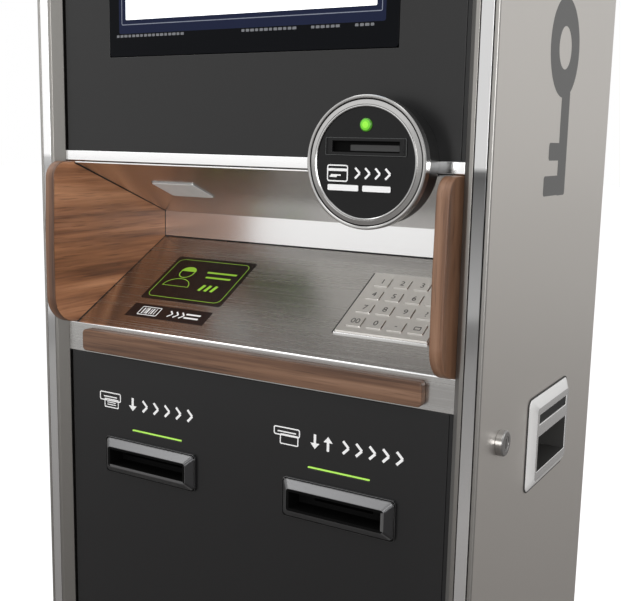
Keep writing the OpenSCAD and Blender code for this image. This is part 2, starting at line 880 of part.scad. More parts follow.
module receipt_printer() {
    y0 = throat_d;
    w = printer_half;
    color("#4a4a4a") in_frame() translate([-receipt_x, 0, 0]) difference() {
        union() {
            block([-w, y0, printer_low], [w, y0 + chassis_t, slot_z + 12]);
            for (x = [-w, w - chassis_t])
                block([x, y0, printer_low], [x + chassis_t, y0 + printer_d, roll_z + roll_r * 0.6]);
            block([-w, y0, printer_low], [w, y0 + printer_d, printer_low + chassis_t]);
            translate([-w, roll_y, roll_z]) rotate([0, 90, 0]) cylinder(r = spindle_r, h = 2 * w);
        }
        translate([0, 0, slot_z]) from_front(y0 - eps, chassis_t + 2 * eps)
            square([roll_w + chassis_t, paper_gap], center = true);
        translate([-w - eps, platen_y, platen_z]) rotate([0, 90, 0])
            cylinder(r = stub_r + running_gap, h = 2 * w + 2 * eps);
    }
}

module platen_roller() {
    w = printer_half;
    color("#222222") in_frame() translate([-receipt_x, platen_y, platen_z]) rotate([0, 90, 0]) {
        translate([0, 0, -w + chassis_t + 1]) cylinder(r = platen_r, h = 2 * (w - chassis_t - 1));
        translate([0, 0, -w - 1]) cylinder(r = stub_r, h = 2 * w + 2);
    }
}

module paper_roll() {
    color("white") in_frame() translate([-receipt_x - roll_w / 2, roll_y, roll_z]) rotate([0, 90, 0])
        difference() {
            cylinder(r = roll_r, h = roll_w, $fn = 96);
            translate([0, 0, -eps]) cylinder(r = spindle_r + running_gap, h = roll_w + 2 * eps);
        }
}

// Card feeder: its mouth meets the bezel, and its hopper is open at the top
module card_dispenser() {
    side = slot_w / 2 + feeder_wall;
    stack_half = hopper_half - hopper_wall;
    hopper_back = feeder_l + hopper_l;
    color("#4a4a4a") in_frame() translate([card_x, throat_d, slot_z]) difference() {
        union() {
            block([-side, 0, -feeder_low], [side, feeder_l, feeder_high]);
            block([-hopper_half, feeder_l, -feeder_low], [hopper_half, hopper_back, hopper_high]);
        }
        block([-card_slot_w / 2, -eps, -feeder_wall], [card_slot_w / 2, feeder_l + 4 + eps, feeder_wall]);
        block([-stack_half, feeder_l + 4, 20 - feeder_low], [stack_half, hopper_back - 6, hopper_high + eps]);
    }
}

// ---- service door ----

module service_door() {
    inner = half_w - return_w;
    color("#a7a39d") in_frame() difference() {
        union() {
            translate([0, 0, door_low]) linear_extrude(door_high - door_low) {
                side_profile();
                translate([inner, stiffener_y]) square([return_w - skin_t / 2, skin_t]);
            }
            for (low = [door_low, door_high - skin_t])
                block([inner, stile_y + stile_t + 6, low],
                      [half_w - skin_t / 2, rear_y - skin_t / 2, low + skin_t]);
            for (z = hinge_z) hinge_tabs(z);
        }
        for (z = hinge_z) hinge_relief(z);
        translate([half_w - 4, lock_y, recess_z - lock_drop]) rotate([0, 90, 0])
            cylinder(r = barrel_r + 0.1, h = 8);
        translate([half_w - 4, pull_y, recess_z - pull_drop - pocket_drop]) rotate([90, 0, 90])
            linear_extrude(8) square([pocket_out_w + 2 * fit_gap, pocket_out_h + 2 * fit_gap], center = true);
    }
}

// Notch for the frame's bracket and bore for the pin
module hinge_relief(z) {
    notch = bracket_h / 2 + tab_gap;
    bore = 2 * bracket_h + 5;
    block([half_w - return_w - eps, rear_y - skin_t - eps, z - notch],
          [half_w - skin_t, rear_y + eps, z + notch]);
    translate([hinge_x, hinge_y, z - bore]) cylinder(r = hinge_pin_r + running_gap, h = 2 * bore);
}

module hinge_tabs(z0) {
    rest = hinge_in - skin_t / 2;
    for (z = [z0 + bracket_h / 2 + tab_gap, z0 - bracket_h / 2 - tab_gap - tab_h])
        translate([0, 0, z]) linear_extrude(tab_h) {
            translate([hinge_x, hinge_y]) circle(r = knuckle_r);
            translate([hinge_x, hinge_y - knuckle_r]) square([rest, knuckle_r + rest]);
        }
}

module hinge_pins() {
    reach = bracket_h / 2 + tab_gap + tab_h + 1;
    color("silver") in_frame() for (z = hinge_z)
        translate([hinge_x, hinge_y, z - reach]) cylinder(r = hinge_pin_r, h = 2 * reach);
}

module on_lock() {
    in_frame() translate([0, lock_y, recess_z - lock_drop]) rotate([0, 90, 0]) children();
}

// Lock barrel with its head outside the door and its nut inside
module lock_body() {
    back = cam_x + cam_t + 0.5;
    color("silver") on_lock() difference() {
        union() {
            translate([0, 0, back]) cylinder(r = barrel_r, h = half_w - back);
            translate([0, 0, half_w]) cylinder(r = lock_r, h = lock_proud - 1);
            translate([0, 0, half_w + lock_proud - 1]) cylinder(r1 = lock_r, r2 = lock_r - 1, h = 1);
            translate([0, 0, half_w - skin_t - 4]) cylinder(r = barrel_r + 3, h = 4, $fn = 6);
        }
        translate([0, 0, back - eps]) cylinder(r = plug_r + running_gap, h = half_w + lock_proud - back + 1);
    }
}

// Keyed plug with the cam on its inner end
module lock_plug() {
    top = half_w + lock_proud - 0.4;
    color("#b8b8b8") on_lock() difference() {
        union() {
            translate([0, 0, cam_x]) cylinder(r = plug_r, h = top - cam_x);
            translate([0, 0, cam_x]) linear_extrude(cam_t) {
                circle(r = cam_w / 2);
                translate([-cam_reach, -cam_w / 2]) square([cam_reach, cam_w]);
            }
        }
        translate([0, 0, top]) cube([8.4, 1.4, 12], center = true);
    }
}

module on_pull() {
    in_frame() translate([half_w, pull_y, recess_z - pull_drop]) rotate([90, 0, 90]) children();
}

// Bevelled frame with a label field and a finger pocket
module flush_pull() {
    color("#c4c2be") on_pull() difference() {
        union() {
            hull() {
                linear_extrude(1) rrect(pull_w, pull_h, 7);
                translate([0, 0, pull_proud - 0.5]) linear_extrude(0.5) rrect(pull_face_w, pull_face_h, 4);
            }
            translate([0, -pocket_drop, -pocket_d]) linear_extrude(pocket_d + 0.5)
                square([pocket_out_w, pocket_out_h], center = true);
        }
        translate([0, -pocket_drop, pocket_wall - pocket_d]) linear_extrude(pocket_d + pull_proud)
            square([pocket_w, pocket_h], center = true);
        translate([0, label_rise, pull_proud - label_d]) linear_extrude(2)
            square([label_w, label_h], center = true);
    }
}

// ---- inside and rear ----

module computer_box() {
    z = base_z + tube + shelf_t;
    color("#555555") in_frame() translate([computer_x - computer_w / 2, computer_y, z])
        cube([computer_w, computer_d, computer_h]);
}

module fan_frame() {
    y = rear_y - skin_t - fan_d;
    strut = fan_r + 3;
    color("#2a2a2a") in_frame() translate([fan_x, y, fan_z]) {
        difference() {
            from_front(0, fan_d) rrect(fan_side, fan_side, 6);
            from_front(-eps, fan_d + 2 * eps) circle(r = fan_r + 1.5, $fn = 64);
        }
        for (a = [45, 135]) rotate([0, a, 0])
            block([-strut, 0, -strut_w / 2], [strut, strut_t, strut_w / 2]);
        from_front(0, strut_t + 0.5) circle(r = boss_r);
        from_front(strut_t, hub_d - 1) circle(r = fan_pin_r);
    }
}

module fan_rotor() {
    y = rear_y - skin_t - fan_d + 4;
    color("#1f1f1f") in_frame() translate([fan_x, y, fan_z]) difference() {
        union() {
            from_front(0, hub_d) circle(r = hub_r);
            for (i = [0:blades - 1]) rotate([0, i * 360 / blades, 0])
                translate([hub_r - 2, hub_d / 2, 0]) rotate([blade_turn, 0, 0])
                    block([0, -blade_d / 2, -blade_t / 2], [fan_r + 1 - hub_r, blade_d / 2, blade_t / 2]);
        }
        from_front(-eps, hub_d - 2) circle(r = fan_pin_r + running_gap);
    }
}

// Mains inlet below, pocket for the rocker above
module power_inlet() {
    side = inlet_w / 2;
    high = inlet_h / 2;
    color("#202020") in_frame() translate([inlet_x, rear_y, inlet_z]) difference() {
        union() {
            block([-side, -inlet_d, -high], [side, 0, high]);
            block([-side - inlet_rim, -skin_t - 2, -high - inlet_rim],
                  [side + inlet_rim, -skin_t, high + inlet_rim]);
        }
        difference() {
            translate([0, 0, -socket_drop]) from_front(-socket_d, socket_d + 1) rrect(socket_w, socket_h, 2);
            for (x = [-7, 0, 7]) translate([x, 0, -socket_drop + (x == 0 ? 2.5 : -1.5)])
                from_front(-socket_d - 1, socket_d - 3) square([2, 4], center = true);
        }
        translate([0, -socket_drop, rocker_rise]) from_front(0, socket_drop + eps)
            square([rocker_w + 1, rocker_h + 2.4], center = true);
        translate([0, -rocker_in, rocker_rise]) rotate([0, 90, 0])
            cylinder(r = rocker_pin_r + running_gap, h = rocker_w + 5, center = true);
    }
}

module rocker_switch() {
    color("#202020") in_frame() translate([inlet_x, rear_y - rocker_in, inlet_z + rocker_rise]) {
        cube([rocker_w, rocker_d, rocker_h], center = true);
        rotate([0, 90, 0]) cylinder(r = rocker_pin_r, h = rocker_w + 4, center = true);
    }
}

base_plinth();
levelling_feet();
cabinet_frame();
left_side_panel();
rear_panel();
top_cap();
front_posts();
chrome_strips();
upper_front_panel();
lower_front_panel();
display_glass();
display_module();
trim_band();
recess_liner();
desk_plate();
wood_cheeks();
hand_rest();
work_light();
scan_windows();
id_reader();
barcode_scanner();
pinpad_plate();
pinpad_housing();
key(0, 0);  // key_1
key(1, 0);  // key_2
key(2, 0);  // key_3
key(3, 0);  // key_cancel
key(0, 1);  // key_4
key(1, 1);  // key_5
key(2, 1);  // key_6
key(3, 1);  // key_clear
key(0, 2);  // key_7
key(1, 2);  // key_8
key(2, 2);  // key_9
key(3, 2);  // key_help
key(0, 3);  // key_double_zero
key(1, 3);  // key_0
key(2, 3);  // key_dash
key(3, 3);  // key_enter
reader_barrel();
reader_ring();
reader_face();
reader_shutter();
status_lights();
receipt_bezel();
receipt_printer();
platen_roller();
paper_roll();
card_bezel();
card_dispenser();
service_door();
hinge_pins();
lock_body();
lock_plug();
flush_pull();
computer_box();
fan_frame();
fan_rotor();
power_inlet();
rocker_switch();
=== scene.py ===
"""Looks of a self-service card and receipt terminal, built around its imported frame."""
import math

import bmesh
import bpy
from mathutils import Matrix, Vector


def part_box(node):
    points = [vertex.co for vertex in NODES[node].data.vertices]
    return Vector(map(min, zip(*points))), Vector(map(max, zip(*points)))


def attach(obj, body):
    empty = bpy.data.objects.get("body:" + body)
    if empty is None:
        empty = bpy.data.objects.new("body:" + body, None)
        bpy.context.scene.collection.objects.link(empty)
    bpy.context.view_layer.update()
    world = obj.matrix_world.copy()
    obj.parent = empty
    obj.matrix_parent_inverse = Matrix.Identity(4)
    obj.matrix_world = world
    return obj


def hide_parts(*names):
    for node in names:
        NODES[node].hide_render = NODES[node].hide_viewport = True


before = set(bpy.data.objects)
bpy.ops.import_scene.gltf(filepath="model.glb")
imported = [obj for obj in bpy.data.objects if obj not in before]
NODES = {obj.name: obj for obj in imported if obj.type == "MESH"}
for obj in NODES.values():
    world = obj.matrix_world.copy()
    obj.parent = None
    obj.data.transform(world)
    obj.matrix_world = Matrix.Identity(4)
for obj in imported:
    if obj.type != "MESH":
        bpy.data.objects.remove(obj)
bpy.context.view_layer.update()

MM = 0.001
scene = bpy.context.scene

# ---- places read from the frame


def middle(node):
    low, high = (Vector(corner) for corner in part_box(node))
    return (low + high) / 2


def reach(node, direction):
    """How far a node's vertices go along a direction."""
    direction = Vector(direction)
    return max(direction.dot(v.co) for v in NODES[node].data.vertices)


def axes(origin, right, up):
    """A place whose x runs right, y up and z out of the face."""
    right, up = Vector(right).normalized(), Vector(up).normalized()
    out = right.cross(up)
    place = Matrix((right, up, out)).transposed().to_4x4()
    place.translation = Vector(origin)
    return place


X, Y, Z = Vector((1, 0, 0)), Vector((0, 1, 0)), Vector((0, 0, 1))
panel_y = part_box("lower_front_panel")[0][1]          # face of the black front panels
desk_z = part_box("desk_plate")[0][2]                  # top of the lower panel, foot of the fascia
door_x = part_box("service_door")[1][0]                # outer face of the service door
rear_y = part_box("rear_panel")[1][1]
up_desk = (middle("key_2") - middle("key_0")).normalized()
off_desk = X.cross(up_desk)


def front_place(x, z):
    return axes((x, panel_y, z), X, Z)


def door_place(y, z):
    return axes((door_x, y, z), Y, Z)


def desk_place(node):
    """On top of a node that lies on the desk."""
    centre = middle(node)
    rise = reach(node, off_desk) - off_desk.dot(centre)
    return axes(centre + off_desk * rise, X, up_desk)


# ---- node groups and finishes


class Nodes:
    """Short names for building a node tree."""

    def __init__(self, tree):
        self.tree = tree

    def add(self, kind, **values):
        """A new node; each value is a setting, an input's value or the socket that feeds an input."""
        node = self.tree.nodes.new(kind)
        for key, value in values.items():
            if hasattr(node, key):
                setattr(node, key, value)
            elif isinstance(value, bpy.types.NodeSocket):
                self.link(value, node.inputs[key.replace("_", " ")])
            else:
                node.inputs[key.replace("_", " ")].default_value = value
        return node

    def link(self, source, target):
        self.tree.links.new(source, target)

    def math(self, operation, a, b):
        node = self.add("ShaderNodeMath", operation=operation)
        for socket, value in zip(node.inputs, (a, b)):
            if isinstance(value, (int, float)):
                socket.default_value = value
            else:
                self.link(value, socket)
        return node.outputs[0]

    def times(self, a, b):
        return self.math("MULTIPLY", a, b)

    def plus(self, a, b):
        return self.math("ADD", a, b)

    def minus(self, a, b):
        return self.math("SUBTRACT", a, b)

    def local(self):
        """Object coordinates."""
        return self.add("ShaderNodeTexCoord").outputs["Object"]

    def noise(self, vector, scale, detail=3.0, rough=0.5):
        node = self.add("ShaderNodeTexNoise", Vector=vector, Scale=scale, Detail=detail, Roughness=rough)
        return node.outputs["Fac"]

    def height(self, vector):
        return self.add("ShaderNodeSeparateXYZ", Vector=vector).outputs["Z"]

    def ramp(self, value, *stops):
        """Colour ramp; a stop is (position, colour)."""
        node = self.add("ShaderNodeValToRGB")
        elements = node.color_ramp.elements
        while len(elements) < len(stops):
            elements.new(0.5)
        for element, (position, colour) in zip(elements, stops):
            element.position = position
            element.color = (*colour, 1)
        self.link(value, node.inputs[0])
        return node.outputs[0]

    def span(self, value, low, high):
        node = self.add("ShaderNodeMapRange", To_Min=low, To_Max=high)
        self.link(value, node.inputs[0])
        return node.outputs[0]

    def mix(self, factor, a, b, blend="MIX"):
        node = self.add("ShaderNodeMix", data_type="RGBA", blend_type=blend)
        for socket, value in zip((node.inputs[0], node.inputs[6], node.inputs[7]), (factor, a, b)):
            if isinstance(value, (int, float)):
                socket.default_value = value
            elif isinstance(value, (tuple, list)):
                socket.default_value = (*value, 1)
            else:
                self.link(value, socket)
        return node.outputs[2]


def group(name, inputs, outputs, build):
    """A shader node group with named inputs and outputs."""
    tree = bpy.data.node_groups.new(name, "ShaderNodeTree")
    for label, kind, default in inputs:
        socket = tree.interface.new_socket(label, in_out="INPUT", socket_type=kind)
        if default is not None:
            socket.default_value = default
    for label, kind in outputs:
        tree.interface.new_socket(label, in_out="OUTPUT", socket_type=kind)
    nodes = Nodes(tree)
    source = nodes.add("NodeGroupInput")
    target = nodes.add("NodeGroupOutput")
    for label, socket in build(nodes, source.outputs).items():
        nodes.link(socket, target.inputs[label])
    return tree


def brushed_build(n, given):
    """Fine lines along the stretched way, over broad soft streaks."""
    fine = n.noise(given["Vector"], 1.0, 5.0, 0.65)
    broad = n.noise(given["Vector"], 0.16, 3.0, 0.5)
    both = n.plus(n.times(fine, 0.55), n.times(broad, 0.45))
    spread = n.times(n.minus(both, 0.5), given["Strength"])
    return {"Tone": n.plus(spread, 1.0), "Change": spread, "Height": fine}


def patches_build(n, given):
    """Large soft patches, as of handling and uneven coating."""
    large = n.noise(given["Vector"], 3.0, 4.0, 0.6)
    small = n.noise(given["Vector"], 22.0, 3.0, 0.6)
    both = n.plus(n.times(large, 0.7), n.times(small, 0.3))
    return {"Change": n.times(n.minus(both, 0.5), given["Strength"])}


def worn_edge_build(n, given):
    """White where the surface is convex, broken up by noise: wear, and a painted highlight on the edges."""
    geometry = n.add("ShaderNodeNewGeometry")
    sharp = n.times(n.minus(geometry.outputs["Pointiness"], given["Start"]), given["Gain"])
    broken = n.times(sharp, n.plus(n.noise(given["Vector"], 60.0), 0.4))
    return {"Mask": n.add("ShaderNodeClamp", Value=broken).outputs[0]}


def walnut_build(n, given):
    """Long figure with dark veins, broad warm and cool areas and fine pores."""
    figure = n.noise(given["Vector"], 1.0, 7.0, 0.60)
    bent = n.add("ShaderNodeMix", data_type="VECTOR")
    warp = n.add("ShaderNodeTexNoise", Vector=given["Vector"], Scale=0.22, Detail=2.0)
    bent.inputs[0].default_value = 0.5
    n.link(given["Vector"], bent.inputs[4])
    n.link(warp.outputs["Color"], bent.inputs[5])
    veins = n.noise(bent.outputs[1], 2.6, 4.0, 0.7)
    broad = n.noise(given["Vector"], 0.16, 2.0, 0.5)
    lines = n.plus(n.times(figure, 0.46), n.times(veins, 0.34))
    streak = n.plus(lines, n.times(broad, 0.20))
    colour = n.ramp(
        streak,
        (0.38, (0.070, 0.028, 0.013)),
        (0.45, (0.210, 0.092, 0.043)),
        (0.53, (0.390, 0.185, 0.090)),
        (0.64, (0.600, 0.325, 0.180)),
    )
    pores = n.noise(given["Vector"], 11.0, 2.0, 0.5)
    dark = n.ramp(pores, (0.30, (0.50, 0.47, 0.45)), (0.42, (1, 1, 1)))
    darkened = n.mix(0.7, colour, dark, "MULTIPLY")
    height = n.plus(n.times(pores, 0.6), n.times(figure, 0.4))
    return {"Colour": darkened, "Height": height, "Streak": streak}


FLOAT, VECTOR, COLOUR = "NodeSocketFloat", "NodeSocketVector", "NodeSocketColor"
brushed_grain = group(
    "brushed_grain", [("Vector", VECTOR, None), ("Strength", FLOAT, 0.4)],
    [("Tone", FLOAT), ("Change", FLOAT), ("Height", FLOAT)], brushed_build)
soft_patches = group(
    "soft_patches", [("Vector", VECTOR, None), ("Strength", FLOAT, 0.2)], [("Change", FLOAT)], patches_build)
worn_and_lit_edge = group(
    "worn_and_lit_edge", [("Vector", VECTOR, None), ("Start", FLOAT, 0.53), ("Gain", FLOAT, 9.0)],
    [("Mask", FLOAT)], worn_edge_build)
walnut_figure = group(
    "walnut_figure", [("Vector", VECTOR, None)],
    [("Colour", COLOUR), ("Height", FLOAT), ("Streak", FLOAT)], walnut_build)


def start_material(name, **values):
    material = bpy.data.materials.new(name)
    material.use_nodes = True
    tree = material.node_tree
    shader = tree.nodes["Principled BSDF"]
    for key, value in values.items():
        shader.inputs[key.replace("_", " ")].default_value = value
    return material, Nodes(tree), shader


def mapped(n, scale):
    """Object coordinates, stretched."""
    return n.add("ShaderNodeMapping", Vector=n.local(), Scale=scale).outputs[0]


def placed(n, tree, vector, **values):
    return n.add("ShaderNodeGroup", node_tree=tree, Vector=vector, **values).outputs


def bump(n, shader, height, strength, distance):
    node = n.add("ShaderNodeBump", Height=height, Strength=strength, Distance=distance)
    n.link(node.outputs[0], shader.inputs["Normal"])


def grey(value):
    return (value, value, value)


def shade(colour, gain, lift=0.0):
    return [min(1.0, c * gain + lift) for c in colour]


def brushed_metal(name, colour, rough, scale, strength, relief, patch):
    """Metal with fine lines; scale is lines a metre along X, Y and Z.

    The colour moves only where the lines are strong; roughness and relief move everywhere.
    """
    material, n, shader = start_material(name, Metallic=1.0)
    vector = mapped(n, scale)
    grain = placed(n, brushed_grain, vector, Strength=strength)
    patches = placed(n, soft_patches, n.local(), Strength=patch)
    tone = n.plus(grain["Tone"], patches["Change"])
    base = n.mix(n.span(tone, -0.6, 1.6), shade(colour, 0.55), shade(colour, 1.45))
    n.link(base, shader.inputs["Base Color"])
    lines, broad = n.times(grain["Change"], 0.35), n.times(patches["Change"], 0.5)
    n.link(n.plus(n.plus(lines, broad), rough), shader.inputs["Roughness"])
    bump(n, shader, grain["Height"], relief, 0.0002)
    return material


def coated(name, colour, rough, relief=0.06, wear=0.35, **values):
    """Painted, moulded or bead-blasted surface with a fine texture and paler edges, which are wear and a
    painted highlight.
    """
    material, n, shader = start_material(name, **values)
    vector = n.local()
    patches = placed(n, soft_patches, vector, Strength=0.16)
    edges = placed(n, worn_and_lit_edge, vector)
    base = n.mix(n.span(patches["Change"], 0.35, 0.65), shade(colour, 0.86), shade(colour, 1.14))
    paler = shade(colour, 1.9, 0.02)
    n.link(n.mix(n.times(edges["Mask"], wear), base, paler), shader.inputs["Base Color"])
    n.link(n.plus(n.times(patches["Change"], 0.6), rough), shader.inputs["Roughness"])
    bump(n, shader, n.noise(vector, 900.0, 2.0), relief, 0.0001)
    return material


def glowing(name, colour, strength, falloff):
    """Lit light guide or lens, a little uneven over its surface."""
    material, n, shader = start_material(name, Roughness=0.25, Emission_Strength=strength)
    tone = n.noise(n.local(), 90.0, 2.0)
    lit = n.mix(n.span(tone, 0.2, 0.8), shade(colour, 1 - falloff), colour)
    n.link(lit, shader.inputs["Base Color"])
    n.link(lit, shader.inputs["Emission Color"])
    return material


def walnut(name, scale, tint):
    """Oiled walnut; scale is figure a metre along X, Y and Z, and the grain runs along the lowest."""
    material, n, shader = start_material(name, Coat_Weight=0.10, Coat_Roughness=0.35)
    vector = mapped(n, scale)
    figure = placed(n, walnut_figure, vector)
    # paler convex edges: wear and a painted highlight
    edges = placed(n, worn_and_lit_edge, vector, Start=0.515, Gain=7.0)
    toned = n.mix(1.0, figure["Colour"], tint, "MULTIPLY")
    paler = n.mix(n.times(edges["Mask"], 0.4), toned, (0.36, 0.23, 0.17))
    n.link(paler, shader.inputs["Base Color"])
    n.link(n.span(figure["Streak"], 0.50, 0.34), shader.inputs["Roughness"])
    bump(n, shader, figure["Height"], 0.28, 0.0003)
    return material


# painted reflection: the bright strips' tone fades between these heights
TRIM_FOOT = 0.72        # heights in metres between which the bright strips fade
TRIM_LOW = 0.988
TRIM_BAND = 0.991       # just under the trim band


def strip_trim(name, tone, foot_tone, low_tone):
    """Bright trim above the band, going darker just below it and paler again toward the floor: a painted
    reflection.
    """
    material = brushed_metal(name, grey(tone), 0.07, (200, 200, 3), 0.06, 0.0, 0.03)
    n = Nodes(material.node_tree)
    base = material.node_tree.nodes["Principled BSDF"].inputs["Base Color"]
    stops = (TRIM_FOOT, foot_tone), (TRIM_LOW, low_tone), (TRIM_BAND, 1)
    fade = n.ramp(n.height(n.local()), *((height, grey(value)) for height, value in stops))
    n.link(n.mix(1.0, base.links[0].from_socket, fade, "MULTIPLY"), base)
    return material


# base colour, roughness, lines a metre along X, Y and Z, strength of lines, relief, strength of patches
METALS = {
    "satin_steel": ((0.535, 0.513, 0.485), 0.38, (300, 300, 420), 0.10, 0.04, 0.10),
    "lip_steel": ((0.27, 0.262, 0.25), 0.34, (300, 300, 420), 0.10, 0.04, 0.08),
    "post_aluminium": ((0.24, 0.232, 0.219), 0.32, (700, 700, 6), 0.16, 0.05, 0.06),
    "polished_edge": (grey(0.93), 0.12, (6, 200, 200), 0.05, 0.0, 0.05),
    "band_trim": (grey(0.92), 0.14, (3, 300, 300), 0.06, 0.01, 0.03),
    "recess_steel": ((0.425, 0.42, 0.41), 0.24, (5, 520, 520), 1.7, 0.22, 0.24),
    "liner_steel": ((0.60, 0.59, 0.58), 0.25, (4, 400, 400), 0.30, 0.05, 0.10),
    "wall_steel": (grey(0.97), 0.25, (4, 400, 400), 0.22, 0.05, 0.08),
    "key_zinc": ((0.60, 0.59, 0.57), 0.33, (500, 500, 500), 0.12, 0.04, 0.12),
    "ring_metal": ((0.35, 0.346, 0.34), 0.20, (260, 260, 260), 0.10, 0.03, 0.06),
    "ring_bright": ((0.50, 0.50, 0.495), 0.16, (260, 260, 260), 0.08, 0.02, 0.05),
    "zinc_casting": ((0.90, 0.895, 0.88), 0.20, (240, 240, 240), 0.06, 0.02, 0.08),
    "lock_metal": ((0.27, 0.265, 0.26), 0.11, (300, 300, 300), 0.08, 0.02, 0.08),
    "foot_metal": ((0.55, 0.55, 0.54), 0.3, (200, 200, 200), 0.16, 0.04, 0.12),
}
PRINT = dict(relief=0.02, wear=0.0)
SOFT = dict(relief=0.05, wear=0.0)
GLASS = dict(relief=0.0, wear=0.0)
# base colour, roughness and what else differs from a plain coat
COATS = {
    "post_satin": ((0.16, 0.155, 0.148), 0.4, dict(Metallic=0.1)),
    "casting_bevel": ((0.95, 0.94, 0.925), 0.3, dict(relief=0.02, wear=0.1, Metallic=0.2)),
    "upper_black": ((0.0058, 0.0058, 0.006), 0.36, dict(relief=0.03, wear=0.2)),
    "lower_black": ((0.008, 0.008, 0.0085), 0.36, dict(relief=0.03, wear=0.2)),
    "frame_paint": (grey(0.02), 0.5, {}),
    "plinth_paint": ((0.035, 0.035, 0.036), 0.45, {}),
    "window_glass": ((0.018, 0.012, 0.012), 0.16, dict(relief=0.01, wear=0.0)),
    "screen_glass": ((0.003, 0.0035, 0.005), 0.08, dict(GLASS, Specular_IOR_Level=0.06)),
    "reader_black": (grey(0.012), 0.38, dict(relief=0.04)),
    "face_black": ((0.005, 0.005, 0.0053), 0.10, dict(relief=0.0, wear=0.1, Specular_IOR_Level=0.24)),
    "bezel_end": ((0.055, 0.055, 0.057), 0.32, dict(relief=0.04, wear=0.3, Metallic=0.8)),
    "bezel_black": ((0.20, 0.20, 0.203), 0.30, dict(relief=0.04, wear=0.3, Metallic=0.85)),
    "feeder_black": (grey(0.004), 0.6, dict(wear=0.1, Specular_IOR_Level=0.06)),
    "module_grey": ((0.12, 0.12, 0.125), 0.45, {}),
    "roller_rubber": (grey(0.02), 0.75, dict(relief=0.12)),
    "paper": ((0.82, 0.82, 0.79), 0.8, SOFT),
    # the inks glow a little: painted light on print; on the display the glow is real
    "white_ink": (grey(0.86), 0.5, dict(
        PRINT, Emission_Color=(1, 1, 1, 1), Emission_Strength=0.10)),
    "green_ink": ((0.30, 0.58, 0.05), 0.4, dict(
        PRINT, Emission_Color=(0.42, 0.8, 0.05, 1), Emission_Strength=0.22)),
    "grey_ink": ((0.13, 0.13, 0.128), 0.45, PRINT),
    "slot_black": (grey(0.003), 0.6, dict(PRINT, Specular_IOR_Level=0.06)),
    "pocket_black": ((0.085, 0.083, 0.08), 0.35, dict(relief=0.03, wear=0.1, Metallic=0.5)),
    "pull_seal": ((0.035, 0.033, 0.031), 0.7, SOFT),
    "gasket": (grey(0.010), 0.7, SOFT),
    "rim_grey": ((0.055, 0.057, 0.057), 0.4, PRINT),
    "tongue_grey": (grey(0.045), 0.5, dict(relief=0.03, wear=0.0)),
    "key_ink": (grey(0.06), 0.5, PRINT),
    "screen_navy": ((0.012, 0.016, 0.040), 0.12, dict(
        GLASS, Emission_Color=(0.02, 0.03, 0.09, 1), Emission_Strength=0.08, Specular_IOR_Level=0.06)),
    "screen_line": ((0.20, 0.22, 0.28), 0.3, dict(
        GLASS, Emission_Color=(0.4, 0.45, 0.6, 1), Emission_Strength=0.06)),
    "screen_note": ((0.17, 0.175, 0.19), 0.4, GLASS),
}
# colour, strength and how much darker the dull places are
LIT = {
    "lamp_lens": (grey(0.80), 0.10, 0.2),
    "guide_green": ((0.36, 0.66, 0.10), 0.8, 0.35),
    "led_green": ((0.22, 0.62, 0.035), 0.72, 0.2),
    "led_middle": ((0.12, 0.46, 0.02), 0.7, 0.2),
    "led_rim": ((0.05, 0.20, 0.012), 0.5, 0.2),
    "tile_blue": ((0.05, 0.20, 0.48), 0.9, 0.2),
    "tile_teal": ((0.03, 0.36, 0.34), 0.9, 0.2),
}
# figure a metre along X, Y and Z, and tint
WOODS = {
    "walnut": ((16, 2.6, 70), (1.16, 1.06, 1.0)),
    "walnut_edge": ((90, 16, 2.4), (0.53, 0.55, 0.61)),
    "walnut_bar": ((2.0, 16, 80), (0.50, 0.545, 0.63)),
}
# tone above the band, then gain at the foot and just below the band; painted reflection, toned apart for the
# left and right strips
PAINTED_REFLECTION_TRIMS = {"left_trim": (0.68, 0.85, 0.52), "right_trim": (0.44, 1.5, 0.16)}
FINISH = {}
for make, table in ((brushed_metal, METALS), (glowing, LIT), (walnut, WOODS), (strip_trim, PAINTED_REFLECTION_TRIMS)):
    for name, values in table.items():
        FINISH[name] = make(name, *values)
for name, (colour, rough, extra) in COATS.items():
    FINISH[name] = coated(name, colour, rough, **extra)

# ---- making pieces


def link(name, mesh, finish=None):
    piece = bpy.data.objects.new(name, mesh)
    scene.collection.objects.link(piece)
    if finish:
        mesh.materials.clear()
        mesh.materials.append(FINISH[finish])
    return piece


def set_in(piece, body, slot, *nodes):
    """Rides on a body and stands for CAD nodes; slot is not used."""
    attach(piece, body)
    if nodes:
        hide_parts(*nodes)


def plain_mesh(holder):
    """What an object shows with all its settings and modifiers applied, as a plain mesh."""
    graph = bpy.context.evaluated_depsgraph_get()
    return bpy.data.meshes.new_from_object(holder.evaluated_get(graph))


def mesh_of(bm, name):
    mesh = bpy.data.meshes.new(name)
    bm.to_mesh(mesh)
    bm.free()
    return mesh


def settled(piece):
    """Applies a piece's modifiers and leaves a plain mesh."""
    mesh = plain_mesh(piece)
    piece.modifiers.clear()
    old = piece.data
    piece.data = mesh
    bpy.data.meshes.remove(old)
    return piece


def weighted(piece, angle=35):
    """Smooth shading that keeps flat faces flat."""
    for polygon in piece.data.polygons:
        polygon.use_smooth = True
    piece.data.set_sharp_from_angle(angle=math.radians(angle))
    normals = piece.modifiers.new("normals", "WEIGHTED_NORMAL")
    normals.keep_sharp = True
    normals.weight = 100
    return settled(piece)


